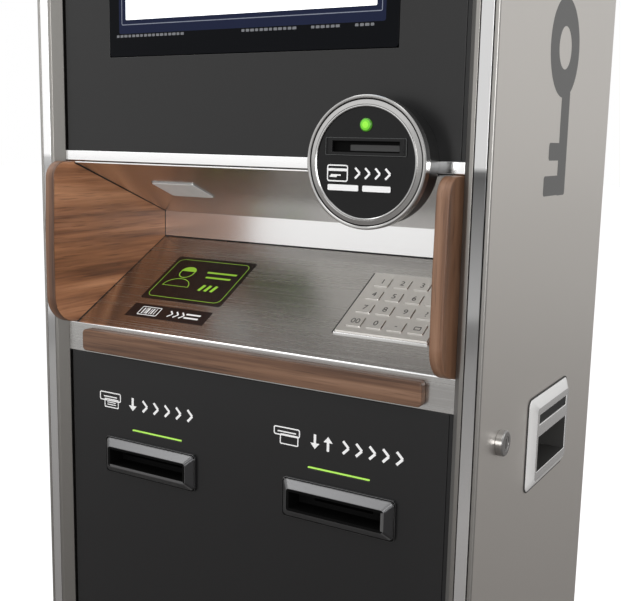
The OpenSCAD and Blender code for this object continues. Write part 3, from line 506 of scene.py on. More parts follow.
def finished(node, finish, body="cabinet", slot=None, bevel=0.4, steps=2, sharp=32, where=None):
    """A copy of a CAD node with clean faces and rounded edges, in the node's place.

    A test of an edge's middle can keep the rounding to some edges.
    """
    bm = bmesh.new()
    bm.from_mesh(NODES[node].data)
    bmesh.ops.remove_doubles(bm, verts=bm.verts, dist=2e-6)
    bmesh.ops.dissolve_limit(bm, angle_limit=math.radians(0.6), verts=bm.verts, edges=bm.edges)
    limit = math.radians(sharp)
    edges = [e for e in bm.edges if len(e.link_faces) == 2 and e.calc_face_angle(0.0) > limit]
    if where:
        edges = [e for e in edges if where((e.verts[0].co + e.verts[1].co) / 2)]
    if bevel:
        bmesh.ops.bevel(
            bm, geom=edges, offset=bevel * MM, offset_type="OFFSET", segments=steps, profile=0.5,
            affect="EDGES", clamp_overlap=True)
    name = "finished_" + node
    piece = weighted(link(name, mesh_of(bm, name), finish))
    set_in(piece, body, slot or finish, node)
    return piece


def recolour(piece, finish, chosen):
    """Gives a second finish to the faces that a test of their centre and normal picks."""
    piece.data.materials.append(FINISH[finish])
    index = len(piece.data.materials) - 1
    for polygon in piece.data.polygons:
        if chosen(polygon.center, polygon.normal):
            polygon.material_index = index


def ring_points(radius, x=0.0, y=0.0, steps=64):
    turn = 2 * math.pi / steps
    return [(x + radius * math.cos(i * turn), y + radius * math.sin(i * turn)) for i in range(steps)]


def rounded(w, h, r, x=0.0, y=0.0):
    """Rounded rectangle outline about (x, y)."""
    steps = 6
    points = []
    for corner, (sx, sy) in enumerate(((1, 1), (-1, 1), (-1, -1), (1, -1))):
        for i in range(steps + 1):
            a = (corner + i / steps) * math.pi / 2
            points.append((x + sx * (w / 2 - r) + r * math.cos(a), y + sy * (h / 2 - r) + r * math.sin(a)))
    return points


def stroke(a, b, width):
    """A straight line as a thin rectangle."""
    a, b = Vector(a), Vector(b)
    side = (b - a).normalized().orthogonal() * width / 2
    return [tuple(a + side), tuple(b + side), tuple(b - side), tuple(a - side)]


def frame_of(w, h, r, width, x=0.0, y=0.0):
    """Outline and inner outline of a rounded frame."""
    return [rounded(w, h, r, x, y), rounded(w - 2 * width, h - 2 * width, max(r - width, 0.1), x, y)]


def plate_mesh(outlines, depth, bevel):
    """Flat plate with its front on z = 0, from an outline and the holes in it, in millimetres."""
    curve = bpy.data.curves.new("outline", "CURVE")
    curve.dimensions = "2D"
    curve.fill_mode = "BOTH"
    curve.extrude = (depth / 2 - bevel) * MM
    curve.bevel_depth = bevel * MM
    curve.offset = -bevel * MM
    curve.bevel_resolution = 2
    for points in outlines:
        spline = curve.splines.new("POLY")
        spline.points.add(len(points) - 1)
        for point, (x, y) in zip(spline.points, points):
            point.co = (x * MM, y * MM, 0, 1)
        spline.use_cyclic_u = True
    holder = bpy.data.objects.new("outline", curve)
    scene.collection.objects.link(holder)
    mesh = plain_mesh(holder)
    bpy.data.objects.remove(holder)
    bpy.data.curves.remove(curve)
    mesh.transform(Matrix.Translation((0, 0, -depth / 2 * MM)))
    return mesh


def joined(name, meshes):
    bm = bmesh.new()
    for mesh in meshes:
        bm.from_mesh(mesh)
        bpy.data.meshes.remove(mesh)
    bmesh.ops.remove_doubles(bm, verts=bm.verts, dist=1e-7)
    return mesh_of(bm, name)


INK = 0.06          # thickness of printed marks
STAGGER = 0.008     # step between overlapping shapes of one mark


def lathe(name, profile, place, finish, slot=None, nodes=(), steps=128, sharp=30):
    """Turned piece: profile is a closed list of (radius, height) in millimetres."""
    bm = bmesh.new()
    rings = []
    for radius, height in profile:
        points = ring_points(radius, steps=steps)
        rings.append([bm.verts.new((x * MM, y * MM, height * MM)) for x, y in points])
    for a, b in zip(rings, rings[1:] + rings[:1]):
        for i in range(steps):
            j = (i + 1) % steps
            bm.faces.new((a[i], a[j], b[j], b[i]))
    bmesh.ops.remove_doubles(bm, verts=bm.verts, dist=1e-8)
    bmesh.ops.recalc_face_normals(bm, faces=bm.faces)
    mesh = mesh_of(bm, name)
    mesh.transform(place)
    piece = weighted(link(name, mesh, finish), sharp)
    set_in(piece, "cabinet", slot or finish, *nodes)
    return piece


def legend(key, text):
    """A plain numeral or sign, printed on a key."""
    name = "legend_" + key
    curve = bpy.data.curves.new(name, "FONT")
    curve.body = text
    curve.size = 9 * MM
    curve.align_x = "CENTER"
    curve.align_y = "CENTER"
    curve.extrude = INK / 2 * MM
    holder = bpy.data.objects.new(name, curve)
    scene.collection.objects.link(holder)
    mesh = plain_mesh(holder)
    bpy.data.objects.remove(holder)
    mesh.transform(desk_place(key) @ Matrix.Translation((0, 0, INK / 2 * MM)))
    set_in(link(name, mesh, "key_ink"), key, "key_zinc")


def slab(name, shapes, place, finish, depth=INK, bevel=0.0, body="cabinet", slot=None, nodes=(), lift=0.0):
    """Flat piece with its front lifted off the place; each shape is an outline with its holes."""
    plates = []
    for number, shape in enumerate(shapes):
        plates.append(plate_mesh(shape, depth, bevel))
        plates[-1].transform(Matrix.Translation((0, 0, number % 4 * STAGGER * MM)))
    mesh = joined(name, plates)
    mesh.transform(place @ Matrix.Translation((0, 0, lift * MM)))
    piece = link(name, mesh, finish)
    if bevel:
        weighted(piece)
    set_in(piece, body, slot or finish, *nodes)


def white_sign(name, shapes, place):
    slab(name, shapes, place, "white_ink", slot="paper", lift=INK)


def dress(finish, *nodes):
    """Gives inner CAD nodes their finish as they are."""
    for node in nodes:
        NODES[node].data.materials.clear()
        NODES[node].data.materials.append(FINISH[finish])


def islands(node):
    """The separate solids of a node, each as its points, lowest first."""
    bm = bmesh.new()
    bm.from_mesh(NODES[node].data)
    bmesh.ops.remove_doubles(bm, verts=bm.verts, dist=2e-6)
    left, found = set(bm.verts), []
    while left:
        edge, solid = [left.pop()], []
        while edge:
            vert = edge.pop()
            solid.append(vert.co.copy())
            near = {e.other_vert(vert) for e in vert.link_edges} & left
            left -= near
            edge.extend(near)
        found.append(solid)
    bm.free()
    return sorted(found, key=lambda solid: min(p.z for p in solid))


def face_of(points, right, up):
    """Place on the outer face of some points, with their width and height in millimetres."""
    right, up = Vector(right).normalized(), Vector(up).normalized()
    out = right.cross(up)
    along = [[axis.dot(p) for p in points] for axis in (right, up, out)]
    spans = [(min(row), max(row)) for row in along]
    centre = right * sum(spans[0]) / 2 + up * sum(spans[1]) / 2 + out * spans[2][1]
    return axes(centre, right, up), (spans[0][1] - spans[0][0]) / MM, (spans[1][1] - spans[1][0]) / MM


def node_face(node, right=X, up=Z):
    return face_of([v.co for v in NODES[node].data.vertices], right, up)


# ---- cabinet, panels and trim

FOLD_RISE = 29          # the desk's front fold, in millimetres above the lower panel


def at_fold(p, depth, near):
    """Whether a point is at the desk's front fold, by this depth and nearness in millimetres."""
    return p.y < panel_y + depth * MM and abs(p.z - desk_z - FOLD_RISE * MM) < near * MM


left_panel = finished("left_side_panel", "satin_steel", bevel=0.5)
door = finished("service_door", "satin_steel", body="door", bevel=0.2)
# front-facing lip of the side panel and door: a darker copy of their steel, painted shade along the posts
for panel in (left_panel, door):
    recolour(panel, "lip_steel", lambda p, n: n.y < -0.3)
finished("rear_panel", "satin_steel", bevel=0)
finished("top_cap", "satin_steel", bevel=0.8, steps=3)
posts = finished("front_posts", "post_aluminium", bevel=0.5)
recolour(posts, "post_satin", lambda p, n: n.x < -0.4 and n.y < -0.2)
# the strips' fade with height and the darker right strip are painted reflection
strips = finished("chrome_strips", "left_trim", slot="bright_trim", bevel=0.4)
recolour(strips, "right_trim", lambda p, n: p.x > 0)
finished("upper_front_panel", "upper_black", slot="black_panel", bevel=0.5)
finished("lower_front_panel", "lower_black", slot="black_panel", bevel=0.5)
finished("base_plinth", "plinth_paint", bevel=0.8)
finished("trim_band", "band_trim", slot="bright_trim", bevel=0.5)
liner = finished("recess_liner", "liner_steel", slot="recess_steel", bevel=0.25)
# back wall: a much paler copy of the liner's steel, painted light
recolour(liner, "wall_steel", lambda p, n: n.y < -0.95)
desk = finished("desk_plate", "recess_steel", bevel=1.3, steps=4, where=lambda p: at_fold(p, 0.3, 0.5))
# a bright, glossy copy of the steel along the fold: painted highlight
recolour(desk, "polished_edge", lambda p, n: at_fold(p, 1.5, 1.6) and n.y < -0.1 and n.z > 0.1)
finished("levelling_feet", "foot_metal", bevel=0.5)
dress("frame_paint", "cabinet_frame")
# parts behind the slots are near black so the slots read dark: painted shade
dress("feeder_black", "receipt_printer", "card_dispenser")
dress("module_grey", "computer_box", "id_reader", "barcode_scanner",
      "display_module", "pinpad_housing", "fan_frame", "fan_rotor")
dress("reader_black", "power_inlet", "rocker_switch")
dress("roller_rubber", "platen_roller")
dress("paper", "paper_roll")
dress("foot_metal", "hinge_pins")

# black seals that fill the gap between the front panels and the right post
SEAL_W = 3.5
for level in ("upper", "lower"):
    seal_low, seal_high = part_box(level + "_front_panel")
    seal_place = axes((seal_high.x + SEAL_W / 2 * MM, panel_y, (seal_low.z + seal_high.z) / 2), X, Z)
    slab(level + "_panel_seal", [[rounded(SEAL_W - 0.3, (seal_high.z - seal_low.z) / MM - 1, 0.4)]],
         seal_place, level + "_black", 4.0, 0.3, slot="black_panel", lift=-0.3)

# ---- walnut cheeks and hand rest

CHEEK_FRONT = 27        # the cheeks' rounded noses begin this far before the panels
cheeks = finished("wood_cheeks", "walnut", bevel=1.6, steps=4)
recolour(cheeks, "walnut_edge",
         lambda p, n: p.y < panel_y - CHEEK_FRONT * MM or n.x * p.x > -0.9 * abs(p.x))
finished("hand_rest", "walnut_bar", slot="walnut", bevel=1.2, steps=4)

# dark seams where the cheeks meet the desk, the back wall and the ceiling
liner_low, liner_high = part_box("recess_liner")
back_y = liner_high.y - 1.5 * MM
SEAM = (
    ((panel_y - back_y) / MM, FOLD_RISE),           # front fold of the desk
    (0, (liner_low.z - desk_z) / MM),               # foot of the back wall
    (0, 131.0),                                     # top of the back wall
    ((panel_y - back_y) / MM, 184.0),               # front of the ceiling
)


def seams(name, x, toward_right):
    """Sealant line along one cheek's inner face."""
    side = 1 if toward_right else -1
    path = [(side * u, v) for u, v in SEAM]
    shapes = [[stroke(a, b, 0.9)] for a, b in zip(path, path[1:])]
    slab(name, shapes, axes((x, back_y, desk_z), Y * side, Z), "gasket", 0.4, slot="reader_black", lift=0.3)


seams("left_seam", liner_low.x, True)
seams("right_seam", liner_high.x, False)
slab("desk_seam", [[rounded((liner_high.x - liner_low.x) / MM, 0.9, 0.1)]],
     axes(((liner_low.x + liner_high.x) / 2, back_y, liner_low.z + 0.5 * MM), X, Z), "gasket", 0.3,
     slot="reader_black", lift=0.2)

# ---- display behind its printed glass

glass_place, glass_w, glass_h = node_face("display_glass")
slab("display_cover", [[rounded(glass_w, glass_h, 3)]], glass_place, "screen_glass", 3.0, 0.4,
     nodes=("display_glass",))
picture_w, picture_h, picture_rise = 254.0, 412.0, 2.6
picture_place = glass_place @ Matrix.Translation((0, picture_rise * MM, 0))

# ---- desk windows and their signs

code_window, id_window, camera_window = islands("scan_windows")
id_place, id_w, id_h = face_of(id_window, X, up_desk)
code_place, code_w, code_h = face_of(code_window, X, up_desk)
camera_place, camera_w, camera_h = face_of(camera_window, X, Z)
for name, place, w, h, corner in (
        ("id_window", id_place, id_w, id_h, 3),
        ("code_window", code_place, code_w, code_h, 1.5),
        ("camera_window", camera_place, camera_w, camera_h, 3)):
    slab(name, [[rounded(w, h, corner)]], place, "window_glass", 1.0, 0.15, nodes=("scan_windows",))


def card_sign(w, h, x, y, line):
    """A card seen flat: rounded outline with a stripe and a short line."""
    return [
        frame_of(w, h, 2.0, line, x, y),
        [rounded(w - 2 * line, h * 0.16, 0.1, x, y + h * 0.2)],
        [rounded(w * 0.35, line, 0.3, x - w * 0.2, y - h * 0.2)],
    ]


def chevrons(count, size, pitch, x, y, line, turn=0.0):
    """A row of arrowheads that point right, or as turned."""
    shapes = []
    for i in range(count):
        tip = Vector((x + i * pitch, y))
        for side in (1, -1):
            tail = Vector((-size * 0.5, side * size * 0.5))
            tail.rotate(Matrix.Rotation(turn, 2))
            shapes.append([stroke(tip, tip + tail, line)])
    return shapes


def arrow(length, width, x, y, up, line):
    """A straight arrow that points up or down."""
    s = 1 if up else -1
    neck = y + s * length * 0.1
    head = [(x - width / 2, neck), (x + width / 2, neck), (x, y + s * length / 2)]
    return [[stroke((x, y - s * length / 2), (x, y + s * length * 0.12), line)], [head]]


def half_round(x, y, across, high):
    """The upper half of an ellipse, from its middle and half widths."""
    turns = [math.pi * i / 16 for i in range(17)]
    return [(x + across * math.cos(a), y + high * math.sin(a)) for a in turns]


def person_sign(x, y, size, line):
    """Head and shoulders, as on an identity card."""
    foot = y - size * 0.62
    return [
        [ring_points(size * 0.34 - inset, x, y + size * 0.28, 32) for inset in (0, line)],
        [half_round(x, foot, size * 0.62, size * 0.5),
         half_round(x, foot + line * 0.6, size * 0.62 - line, size * 0.5 - line * 1.4)],
    ]


# identity card window: green outline, head, card lines and three slanted bars
id_ink = [frame_of(id_w - 9, id_h - 9, 7, 0.55)]
head_x, head_y = -id_w * 0.22, id_h * 0.04
id_ink += person_sign(head_x, head_y, 26, 1.0)
id_ink.append([half_round(head_x, head_y + 9.5, 9.2, 7.5)])
for row, length in enumerate((36, 30)):
    id_ink.append([rounded(length, 2.6, 0.6, id_w * 0.2, id_h * (0.19 - 0.11 * row))])
for i in range(3):
    foot = Vector((id_w * (0.10 + 0.075 * i), -id_h * 0.22))
    id_ink.append([stroke(foot, foot + Vector((2.4, 9.5)), 3.6)])
slab("id_window_sign", id_ink, id_place, "green_ink", slot="guide_green", lift=INK)

# bar code window: a white card with bars, and an arrow row
badge_x = -code_w * 0.24
code_ink = [frame_of(24, 13, 1.5, 1.0, badge_x)]
for x, w in ((-8, 1.6), (-5, 0.9), (-2.6, 2.2), (0.8, 0.9), (3.4, 1.6), (6.6, 0.9)):
    code_ink.append([rounded(w, 8.5, 0.1, badge_x + x + 0.6, 0)])
code_ink += chevrons(3, 8.5, 7.0, code_w * 0.06, 0, 1.6)
code_ink += [[rounded(17, 2.2, 0.6, code_w * 0.31, y)] for y in (2.6, -2.6)]
white_sign("code_window_sign", code_ink, code_place)

# camera window: lens with its ring
lathe("camera_lens", [(0, -0.5), (5.2, -0.5), (5.2, 0.15), (4.4, 0.2), (4.0, 0.05), (0, 0.12)],
      camera_place, "screen_glass", slot="screen_glass", steps=64)

# ---- ceiling lamp

CEILING_SLOPE = math.radians(21.5)
back_down = Vector((0, 1, -math.tan(CEILING_SLOPE))).normalized()
lamp_place, lamp_w, lamp_h = node_face("work_light", -X, back_down)
slab("ceiling_lamp", [[rounded(lamp_w, lamp_h, 3)]], lamp_place, "lamp_lens", 3.0, 0.4,
     nodes=("work_light",))
slab("ceiling_lamp_rim", [frame_of(lamp_w + 2.4, lamp_h + 2.4, 3.5, 1.6)], lamp_place, "ring_metal",
     0.6, 0.15, slot="recess_steel", lift=-0.5)

# ---- card reader with its turned ring

def off_middle(p, place):
    """How far a point is from a front-facing place's middle, seen from the front, in millimetres."""
    return math.hypot(p.x - place.translation.x, p.z - place.translation.z) / MM


ring_place, ring_w, _ = node_face("reader_ring")
face_place, face_w, _ = node_face("reader_face")
ring_low, ring_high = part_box("reader_ring")
ring_r, ring_in, ring_back = ring_w / 2, face_w / 2 + 0.05, (ring_high.y - ring_low.y) / MM
ring = lathe("reader_ring_turned", [
    (ring_r - 0.4, -ring_back), (ring_r, -ring_back + 0.4), (ring_r, -0.8), (ring_r - 0.5, -0.2),
    (ring_r - 1.2, 0), (ring_r - 2.1, -0.15), (ring_r - 2.6, -0.6), (ring_r - 2.6, -1.6),
    (ring_r - 3.6, -1.6), (ring_r - 3.6, -1.0), (ring_in + 2.1, -0.15), (ring_in + 1.7, -0.5),
    (ring_in + 1.4, -0.1), (ring_in + 0.9, 0), (ring_in + 0.3, -0.3), (ring_in, -0.9),
    (ring_in, -ring_back)],
    ring_place, "ring_metal", nodes=("reader_ring",), sharp=14)
ring_y = ring_place.translation.y
# the bottom of the ring's groove is painted black: painted shade
recolour(ring, "slot_black",
         lambda p, n: 2.5 < ring_r - off_middle(p, ring_place) < 3.7 and p.y > ring_y + 0.9 * MM)
# inner rim a paler copy of the ring's metal: painted highlight
recolour(ring, "ring_bright",
         lambda p, n: off_middle(p, ring_place) < ring_in + 1.5 and p.y < ring_y + 1.0 * MM)
finished("reader_barrel", "reader_black", bevel=0.3, sharp=40)
finished("reader_face", "face_black", slot="reader_black", bevel=0.25, sharp=40)
# the shutter takes the near black of painted shade inside the slot
finished("reader_shutter", "slot_black", body="shutter", slot="reader_black", bevel=0.2)
slot_place, slot_w, _ = node_face("reader_shutter")
slab("shutter_tongue", [[rounded(43, 4.6, 0.6, 6.5, -0.9)]], slot_place, "tongue_grey", 0.12, 0.03,
     body="shutter", slot="reader_black", lift=0.12)
slot_rise = (slot_place.translation.z - face_place.translation.z) / MM
# thin paler frame round the slot: painted highlight of its bevel
slab("reader_slot_highlight", [frame_of(slot_w + 7.6, 13.6, 0.8, 0.45, 0, slot_rise)], face_place,
     "rim_grey", 0.2, 0.04, slot="reader_black", lift=0.1)
sign = card_sign(18.5, 13, -23.5, -8.5, 1.0) + [[rounded(9, 1.2, 0.4, -25, -10)]]
sign += chevrons(4, 8.0, 8.6, -4, -8.0, 1.7)
sign += [[rounded(27, 4.6, 1.0, -18.5, -19.5)], [rounded(24, 4.6, 1.0, 10.5, -19.5)]]
white_sign("reader_sign", sign, face_place)

# ---- PIN pad and its keys

finished("pinpad_plate", "key_zinc", bevel=0.35)
pad_place, pad_w, pad_h = node_face("pinpad_plate", X, up_desk)
pad_lift = -(reach("pinpad_plate", off_desk) - reach("desk_plate", off_desk)) / MM
# dark strips at the plate's left and top edges: painted shadow
slab("pinpad_painted_shadow", [
    [rounded(2.2, pad_h + 1, 0.3, -pad_w / 2 - 1.1)],
    [rounded(pad_w + 2, 0.8, 0.3, 0, pad_h / 2 + 1.6)]],
    pad_place, "gasket", 0.3, slot="reader_black", lift=pad_lift + 0.3)
# bright strips at the plate's bottom and top edges: painted highlights
slab("pinpad_painted_highlights", [
    [rounded(pad_w + 0.6, 1.7, 0.4, 0, -pad_h / 2 - 0.5)],
    [rounded(pad_w + 0.6, 1.0, 0.4, 0, pad_h / 2 + 0.3)]],
    pad_place, "polished_edge", 1.6, 0.35, slot="key_zinc", lift=pad_lift + 1.5)
legends = {"key_%d" % digit: str(digit) for digit in range(10)}
legends.update(key_double_zero="00", key_dash="-", key_help="?")
for key in [name for name in NODES if name.startswith("key_")]:
    finished(key, "key_zinc", body=key, bevel=0.45, steps=3)
    if key in legends:
        legend(key, legends[key])
key_signs = {
    "key_cancel": [[stroke((-2, -2), (2, 2), 0.9)], [stroke((-2, 2), (2, -2), 0.9)]],
    "key_clear": chevrons(1, 4.5, 1, -1.2, 0, 0.9, math.pi),
    "key_enter": [frame_of(6.5, 4.6, 0.9, 0.8)],
}
for key, shapes in key_signs.items():
    slab("legend_" + key, shapes, desk_place(key), "key_ink", body=key, slot="key_zinc", lift=INK)

# ---- receipt and card slots, light guides

# box of each bezel's mouth, which is painted black as shade
MOUTH_W, MOUTH_H = 89.4 * MM, 15.4 * MM     # mouth of a bezel, with a little of its rim
MOUTH_END = 44.5 * MM
for bezel in ("receipt_bezel", "card_bezel"):
    centre = middle(bezel)
    surround = finished(bezel, "bezel_black", bevel=0.7, steps=3)
    # right-end facets a darker copy of the bezel's finish: painted shade
    recolour(surround, "bezel_end", lambda p, n: p.x > centre.x + MOUTH_END and n.x > 0.4)
    # the mouth and throat of the bezel are painted black: painted shade
    recolour(surround, "slot_black",
             lambda p, n: abs(p.x - centre.x) < MOUTH_W / 2 and abs(p.z - centre.z) < MOUTH_H / 2)
solids = islands("status_lights")
led = solids.pop()
for number, bar in enumerate(solids):
    bar_place, bar_w, bar_h = face_of(bar, X, Z)
    slab("light_guide_%d" % (number + 1), [[rounded(bar_w, bar_h * 0.62, bar_h * 0.3)]], bar_place,
         "guide_green", 1.5, 0.2, nodes=("status_lights",))
led_place, led_w, _ = face_of(led, X, Z)
led_r = led_w / 2
led_lens = lathe("reader_led", [
    (0, -4), (led_r, -4), (led_r, -0.9), (led_r * 0.92, -0.5), (led_r * 0.82, -0.3),
    (led_r * 0.5, -0.05), (0, 0)],
    led_place, "led_green", slot="guide_green", nodes=("status_lights",), steps=64)
recolour(led_lens, "led_rim", lambda p, n: off_middle(p, led_place) > led_r * 0.86)
recolour(led_lens, "led_middle", lambda p, n: led_r * 0.58 < off_middle(p, led_place) <= led_r * 0.86)

receipt_x, card_x = middle("receipt_bezel").x, middle("card_bezel").x
sign_z = middle("receipt_bezel").z + 54 * MM


def slip_sign():
    """A paper slip leaving a slot."""
    return [
        frame_of(27, 9, 2.0, 1.1, 0, 3.4),
        [rounded(17, 1.1, 0.3, 0, 3.2)],
        frame_of(18, 9, 0.8, 1.0, 1.5, -3.2),
        [rounded(11, 0.9, 0.3, 1.5, -2.4)],
        [rounded(11, 0.9, 0.3, 1.5, -4.6)],
    ]


card_slip = [
    frame_of(27, 8, 2.0, 1.1, 0, 3.8),
    [rounded(19, 1.1, 0.3, 0, 3.4)],
    frame_of(19, 9.5, 1.4, 1.0, 2.5, -3.2),
]
receipt_arrows = arrow(13, 10, -22, 0, False, 2.6) + chevrons(5, 11, 13.5, -4, 0, 2.3)
card_arrows = arrow(13, 9, -24, 0, False, 2.4) + arrow(13, 9, -11, 0, True, 2.4)
card_arrows += chevrons(5, 11, 12.5, 9, 0, 2.3)
white_sign("receipt_sign", slip_sign(), front_place(receipt_x - 50.5 * MM, sign_z))
white_sign("card_sign", card_slip, front_place(card_x - 52.5 * MM, sign_z))
white_sign("receipt_arrows", receipt_arrows, front_place(receipt_x, sign_z))
white_sign("card_arrows", card_arrows, front_place(card_x, sign_z))

# ---- door: lock, flush pull and the large side signs

finished("lock_body", "lock_metal", body="door", bevel=0.35, sharp=40)
plug = finished("lock_plug", "lock_metal", body="lock", bevel=0.2, sharp=40)
lock_at = node_face("lock_body", Y, Z)[0].translation
# the keyway's recessed faces are darkened: painted shade
recolour(plug, "gasket",
         lambda p, n: abs(p.y - lock_at.y) < 0.8 * MM and door_x < p.x < lock_at.x - 0.7 * MM)
LABEL_RISE, LABEL_HALF_W, LABEL_HALF_H = 22.4 * MM, 41 * MM, 4.4 * MM
pull = finished("flush_pull", "zinc_casting", body="door", bevel=0.9, steps=3)
pull_place, pull_w, pull_h = node_face("flush_pull", Y, Z)
pull_at = pull_place.translation
# chamfers get a paler, more diffuse copy of the casting: painted highlight
recolour(pull, "casting_bevel", lambda p, n: p.x > door_x + 0.05 * MM and 0.2 < n.x < 0.96)
# inside of the finger pocket is darkened: painted shade
recolour(pull, "pocket_black", lambda p, n: p.x < door_x - 0.05 * MM)
recolour(pull, "gasket",
         lambda p, n: abs(p.z - (pull_at.z + LABEL_RISE)) < LABEL_HALF_H
         and abs(p.y - pull_at.y) < LABEL_HALF_W and p.x < pull_at.x - 0.5 * MM)
# dark ring round the pull: painted shadow of the gap, drawn as a seal
slab("pull_shadow_ring", [frame_of(pull_w + 2.4, pull_h + 2.4, 8, 4)], door_place(pull_at.y, pull_at.z),
     "pull_seal", 0.9, 0.2, body="door", slot="roller_rubber", lift=0.9)


def key_mark():
    """A room key, bow at the top."""
    return [
        [ring_points(42, 0, 40, 64), ring_points(18, 0, 40, 48)],
        [rounded(24, 92, 3, 10, -40)],
        [rounded(44, 17, 3, -18, -77)], [rounded(34, 15, 3, -13, -48)],
    ]


def bed_mark():
    """A bed seen from its side, foot at the right."""
    return [
        [rounded(12, 84, 3, -54, 4)], [rounded(12, 44, 3, 54, -16)],
        [rounded(112, 14, 3, 0, -16)],
        [ring_points(13, -33, 8, 48)],
        [rounded(64, 17, 6, 14, 2)],
    ]


def side_sign(name, shapes, rise, turn=0.0):
    """A large sign on the door, its middle this far above the lower panel."""
    place = door_place(panel_y + 155 * MM, desk_z + rise * MM) @ Matrix.Rotation(turn, 4, "Z")
    slab(name, shapes, place, "grey_ink", body="door", slot="black_panel", lift=INK)


side_sign("door_key_sign", key_mark(), 252)
side_sign("door_bed_sign", bed_mark(), 410, -math.pi / 2)

# ---- picture on the display


def tile(x, y, w, h, r=5.0):
    return [rounded(w, h, r, x, y)]


def picture_material():
    """Pale picture: soft light from above, faint cool shapes low down."""
    material, n, shader = start_material("screen_picture", Roughness=0.2, Emission_Strength=0.95)
    cloud = n.noise(mapped(n, (9, 1, 2.2)), 1.0, 3.0, 0.55)
    soft = n.ramp(cloud, (0.36, (0.62, 0.68, 0.74)), (0.52, (0.93, 0.94, 0.95)), (0.7, (1, 1, 1)))
    n.link(soft, shader.inputs["Emission Color"])
    n.link(soft, shader.inputs["Base Color"])
    return material


FINISH["screen_picture"] = picture_material()


def on_screen(name, shapes, finish, layer, slot="screen_glass"):
    """Part of the picture, on its layer over the display's glass."""
    slab(name, shapes, picture_place, finish, slot=slot, lift=INK * layer)


BUTTON_X, TOP_ROW, LOW_ROW = 58, 62, -28
notice_left = 10 - glass_w / 2
notice_foot = 18 - glass_h / 2 - picture_rise
notice = [[rounded(3.0 + step % 3 * 0.4, 2.2, 0.5, notice_left + start + step * 4.6, notice_foot)]
          for start, end in ((0, 82), (138, 196), (206, 238), (246, 268))
          for step in range(int((end - start) / 4.6))]
signs = card_sign(44, 30, -BUTTON_X, TOP_ROW, 2.2) + person_sign(BUTTON_X, TOP_ROW, 34, 2.2)
signs.append([ring_points(15, -BUTTON_X, LOW_ROW, 48), ring_points(12.6, -BUTTON_X, LOW_ROW, 48)])
for hand in ((0, 9), (7, 0)):
    tip = (hand[0] - BUTTON_X, hand[1] + LOW_ROW)
    signs.append([stroke((-BUTTON_X, LOW_ROW), tip, 2.2)])
signs += arrow(26, 16, BUTTON_X, LOW_ROW, False, 4)
on_screen("picture_border", [tile(0, 0, picture_w + 16, picture_h + 24, 2)], "screen_navy", 1 / 3)
on_screen("picture_line", [frame_of(picture_w + 10, picture_h + 9, 1.5, 0.7)], "screen_line", 0.6)
on_screen("picture", [tile(0, 0, picture_w, picture_h, 1)], "screen_picture", 1)
buttons = [tile(x, y, 100, 74) for x in (-BUTTON_X, BUTTON_X) for y in (TOP_ROW, LOW_ROW)]
on_screen("picture_buttons", buttons, "tile_blue", 1.6)
on_screen("picture_header", [tile(0, picture_h / 2 - 26, picture_w - 18, 34)], "tile_teal", 1.6)
on_screen("picture_notice", notice, "screen_note", 1)
on_screen("picture_signs", signs, "white_ink", 2.2, slot="paper")

# ---- screws, repeated along the rear and the plinth


def screw_row_tool():
    """Geometry nodes: pan-head screws along a line of points, with a size and a finish."""
    tree = bpy.data.node_groups.new("screw_row", "GeometryNodeTree")
    for label, kind in (("Geometry", "NodeSocketGeometry"), ("Head radius", FLOAT), ("Head height", FLOAT),
                        ("Finish", "NodeSocketMaterial")):
        tree.interface.new_socket(label, in_out="INPUT", socket_type=kind)
    tree.interface.new_socket("Geometry", in_out="OUTPUT", socket_type="NodeSocketGeometry")
    n = Nodes(tree)
    given = n.add("NodeGroupInput").outputs
    radius, height = given["Head radius"], given["Head height"]
    head = n.add("GeometryNodeMeshCylinder", Vertices=32, Radius=radius, Depth=height)
    recess = n.add(
        "GeometryNodeMeshCylinder", Vertices=6, Radius=n.times(radius, 0.5), Depth=n.times(height, 1.2))
    shift = n.add("ShaderNodeCombineXYZ", Z=n.times(height, 0.8))
    moved = n.add(
        "GeometryNodeTransform", Geometry=recess.outputs["Mesh"], Translation=shift.outputs[0])
    cut = n.add("GeometryNodeMeshBoolean", operation="DIFFERENCE")
    n.link(head.outputs["Mesh"], cut.inputs[0])
    n.link(moved.outputs[0], cut.inputs[1])
    normal = n.add("GeometryNodeInputNormal").outputs[0]
    aim = n.add("FunctionNodeAlignRotationToVector", axis="Z", Vector=normal)
    place = n.add(
        "GeometryNodeInstanceOnPoints", Points=given["Geometry"], Instance=cut.outputs["Mesh"],
        Rotation=aim.outputs[0])
    real = n.add("GeometryNodeRealizeInstances", Geometry=place.outputs[0])
    finish = n.add("GeometryNodeSetMaterial", Geometry=real.outputs[0], Material=given["Finish"])
    n.add("NodeGroupOutput", Geometry=finish.outputs[0])
    return tree


screw_row = screw_row_tool()


def screws(name, centres, out, radius=3.2, height=1.6):
    """Small faces at the screw places, turned into screws on the outer surface."""
    bm = bmesh.new()
    side = Vector(out).orthogonal().normalized()
    other = Vector(out).cross(side)
    for centre in centres:
        bm.faces.new([bm.verts.new(Vector(centre) + (side * a + other * b) * MM) for a, b in
                      ((1, 0), (-0.5, 0.8), (-0.5, -0.8))])
    piece = link(name, mesh_of(bm, name))
    tool = piece.modifiers.new("screws", "NODES")
    tool.node_group = screw_row
    values = {"Head radius": radius * MM, "Head height": height * MM, "Finish": FINISH["foot_metal"]}
    for item in screw_row.interface.items_tree:
        if item.item_type == "SOCKET" and item.in_out == "INPUT" and item.name in values:
            tool[item.identifier] = values[item.name]
    settled(piece)
    set_in(piece, "cabinet", "foot_metal")


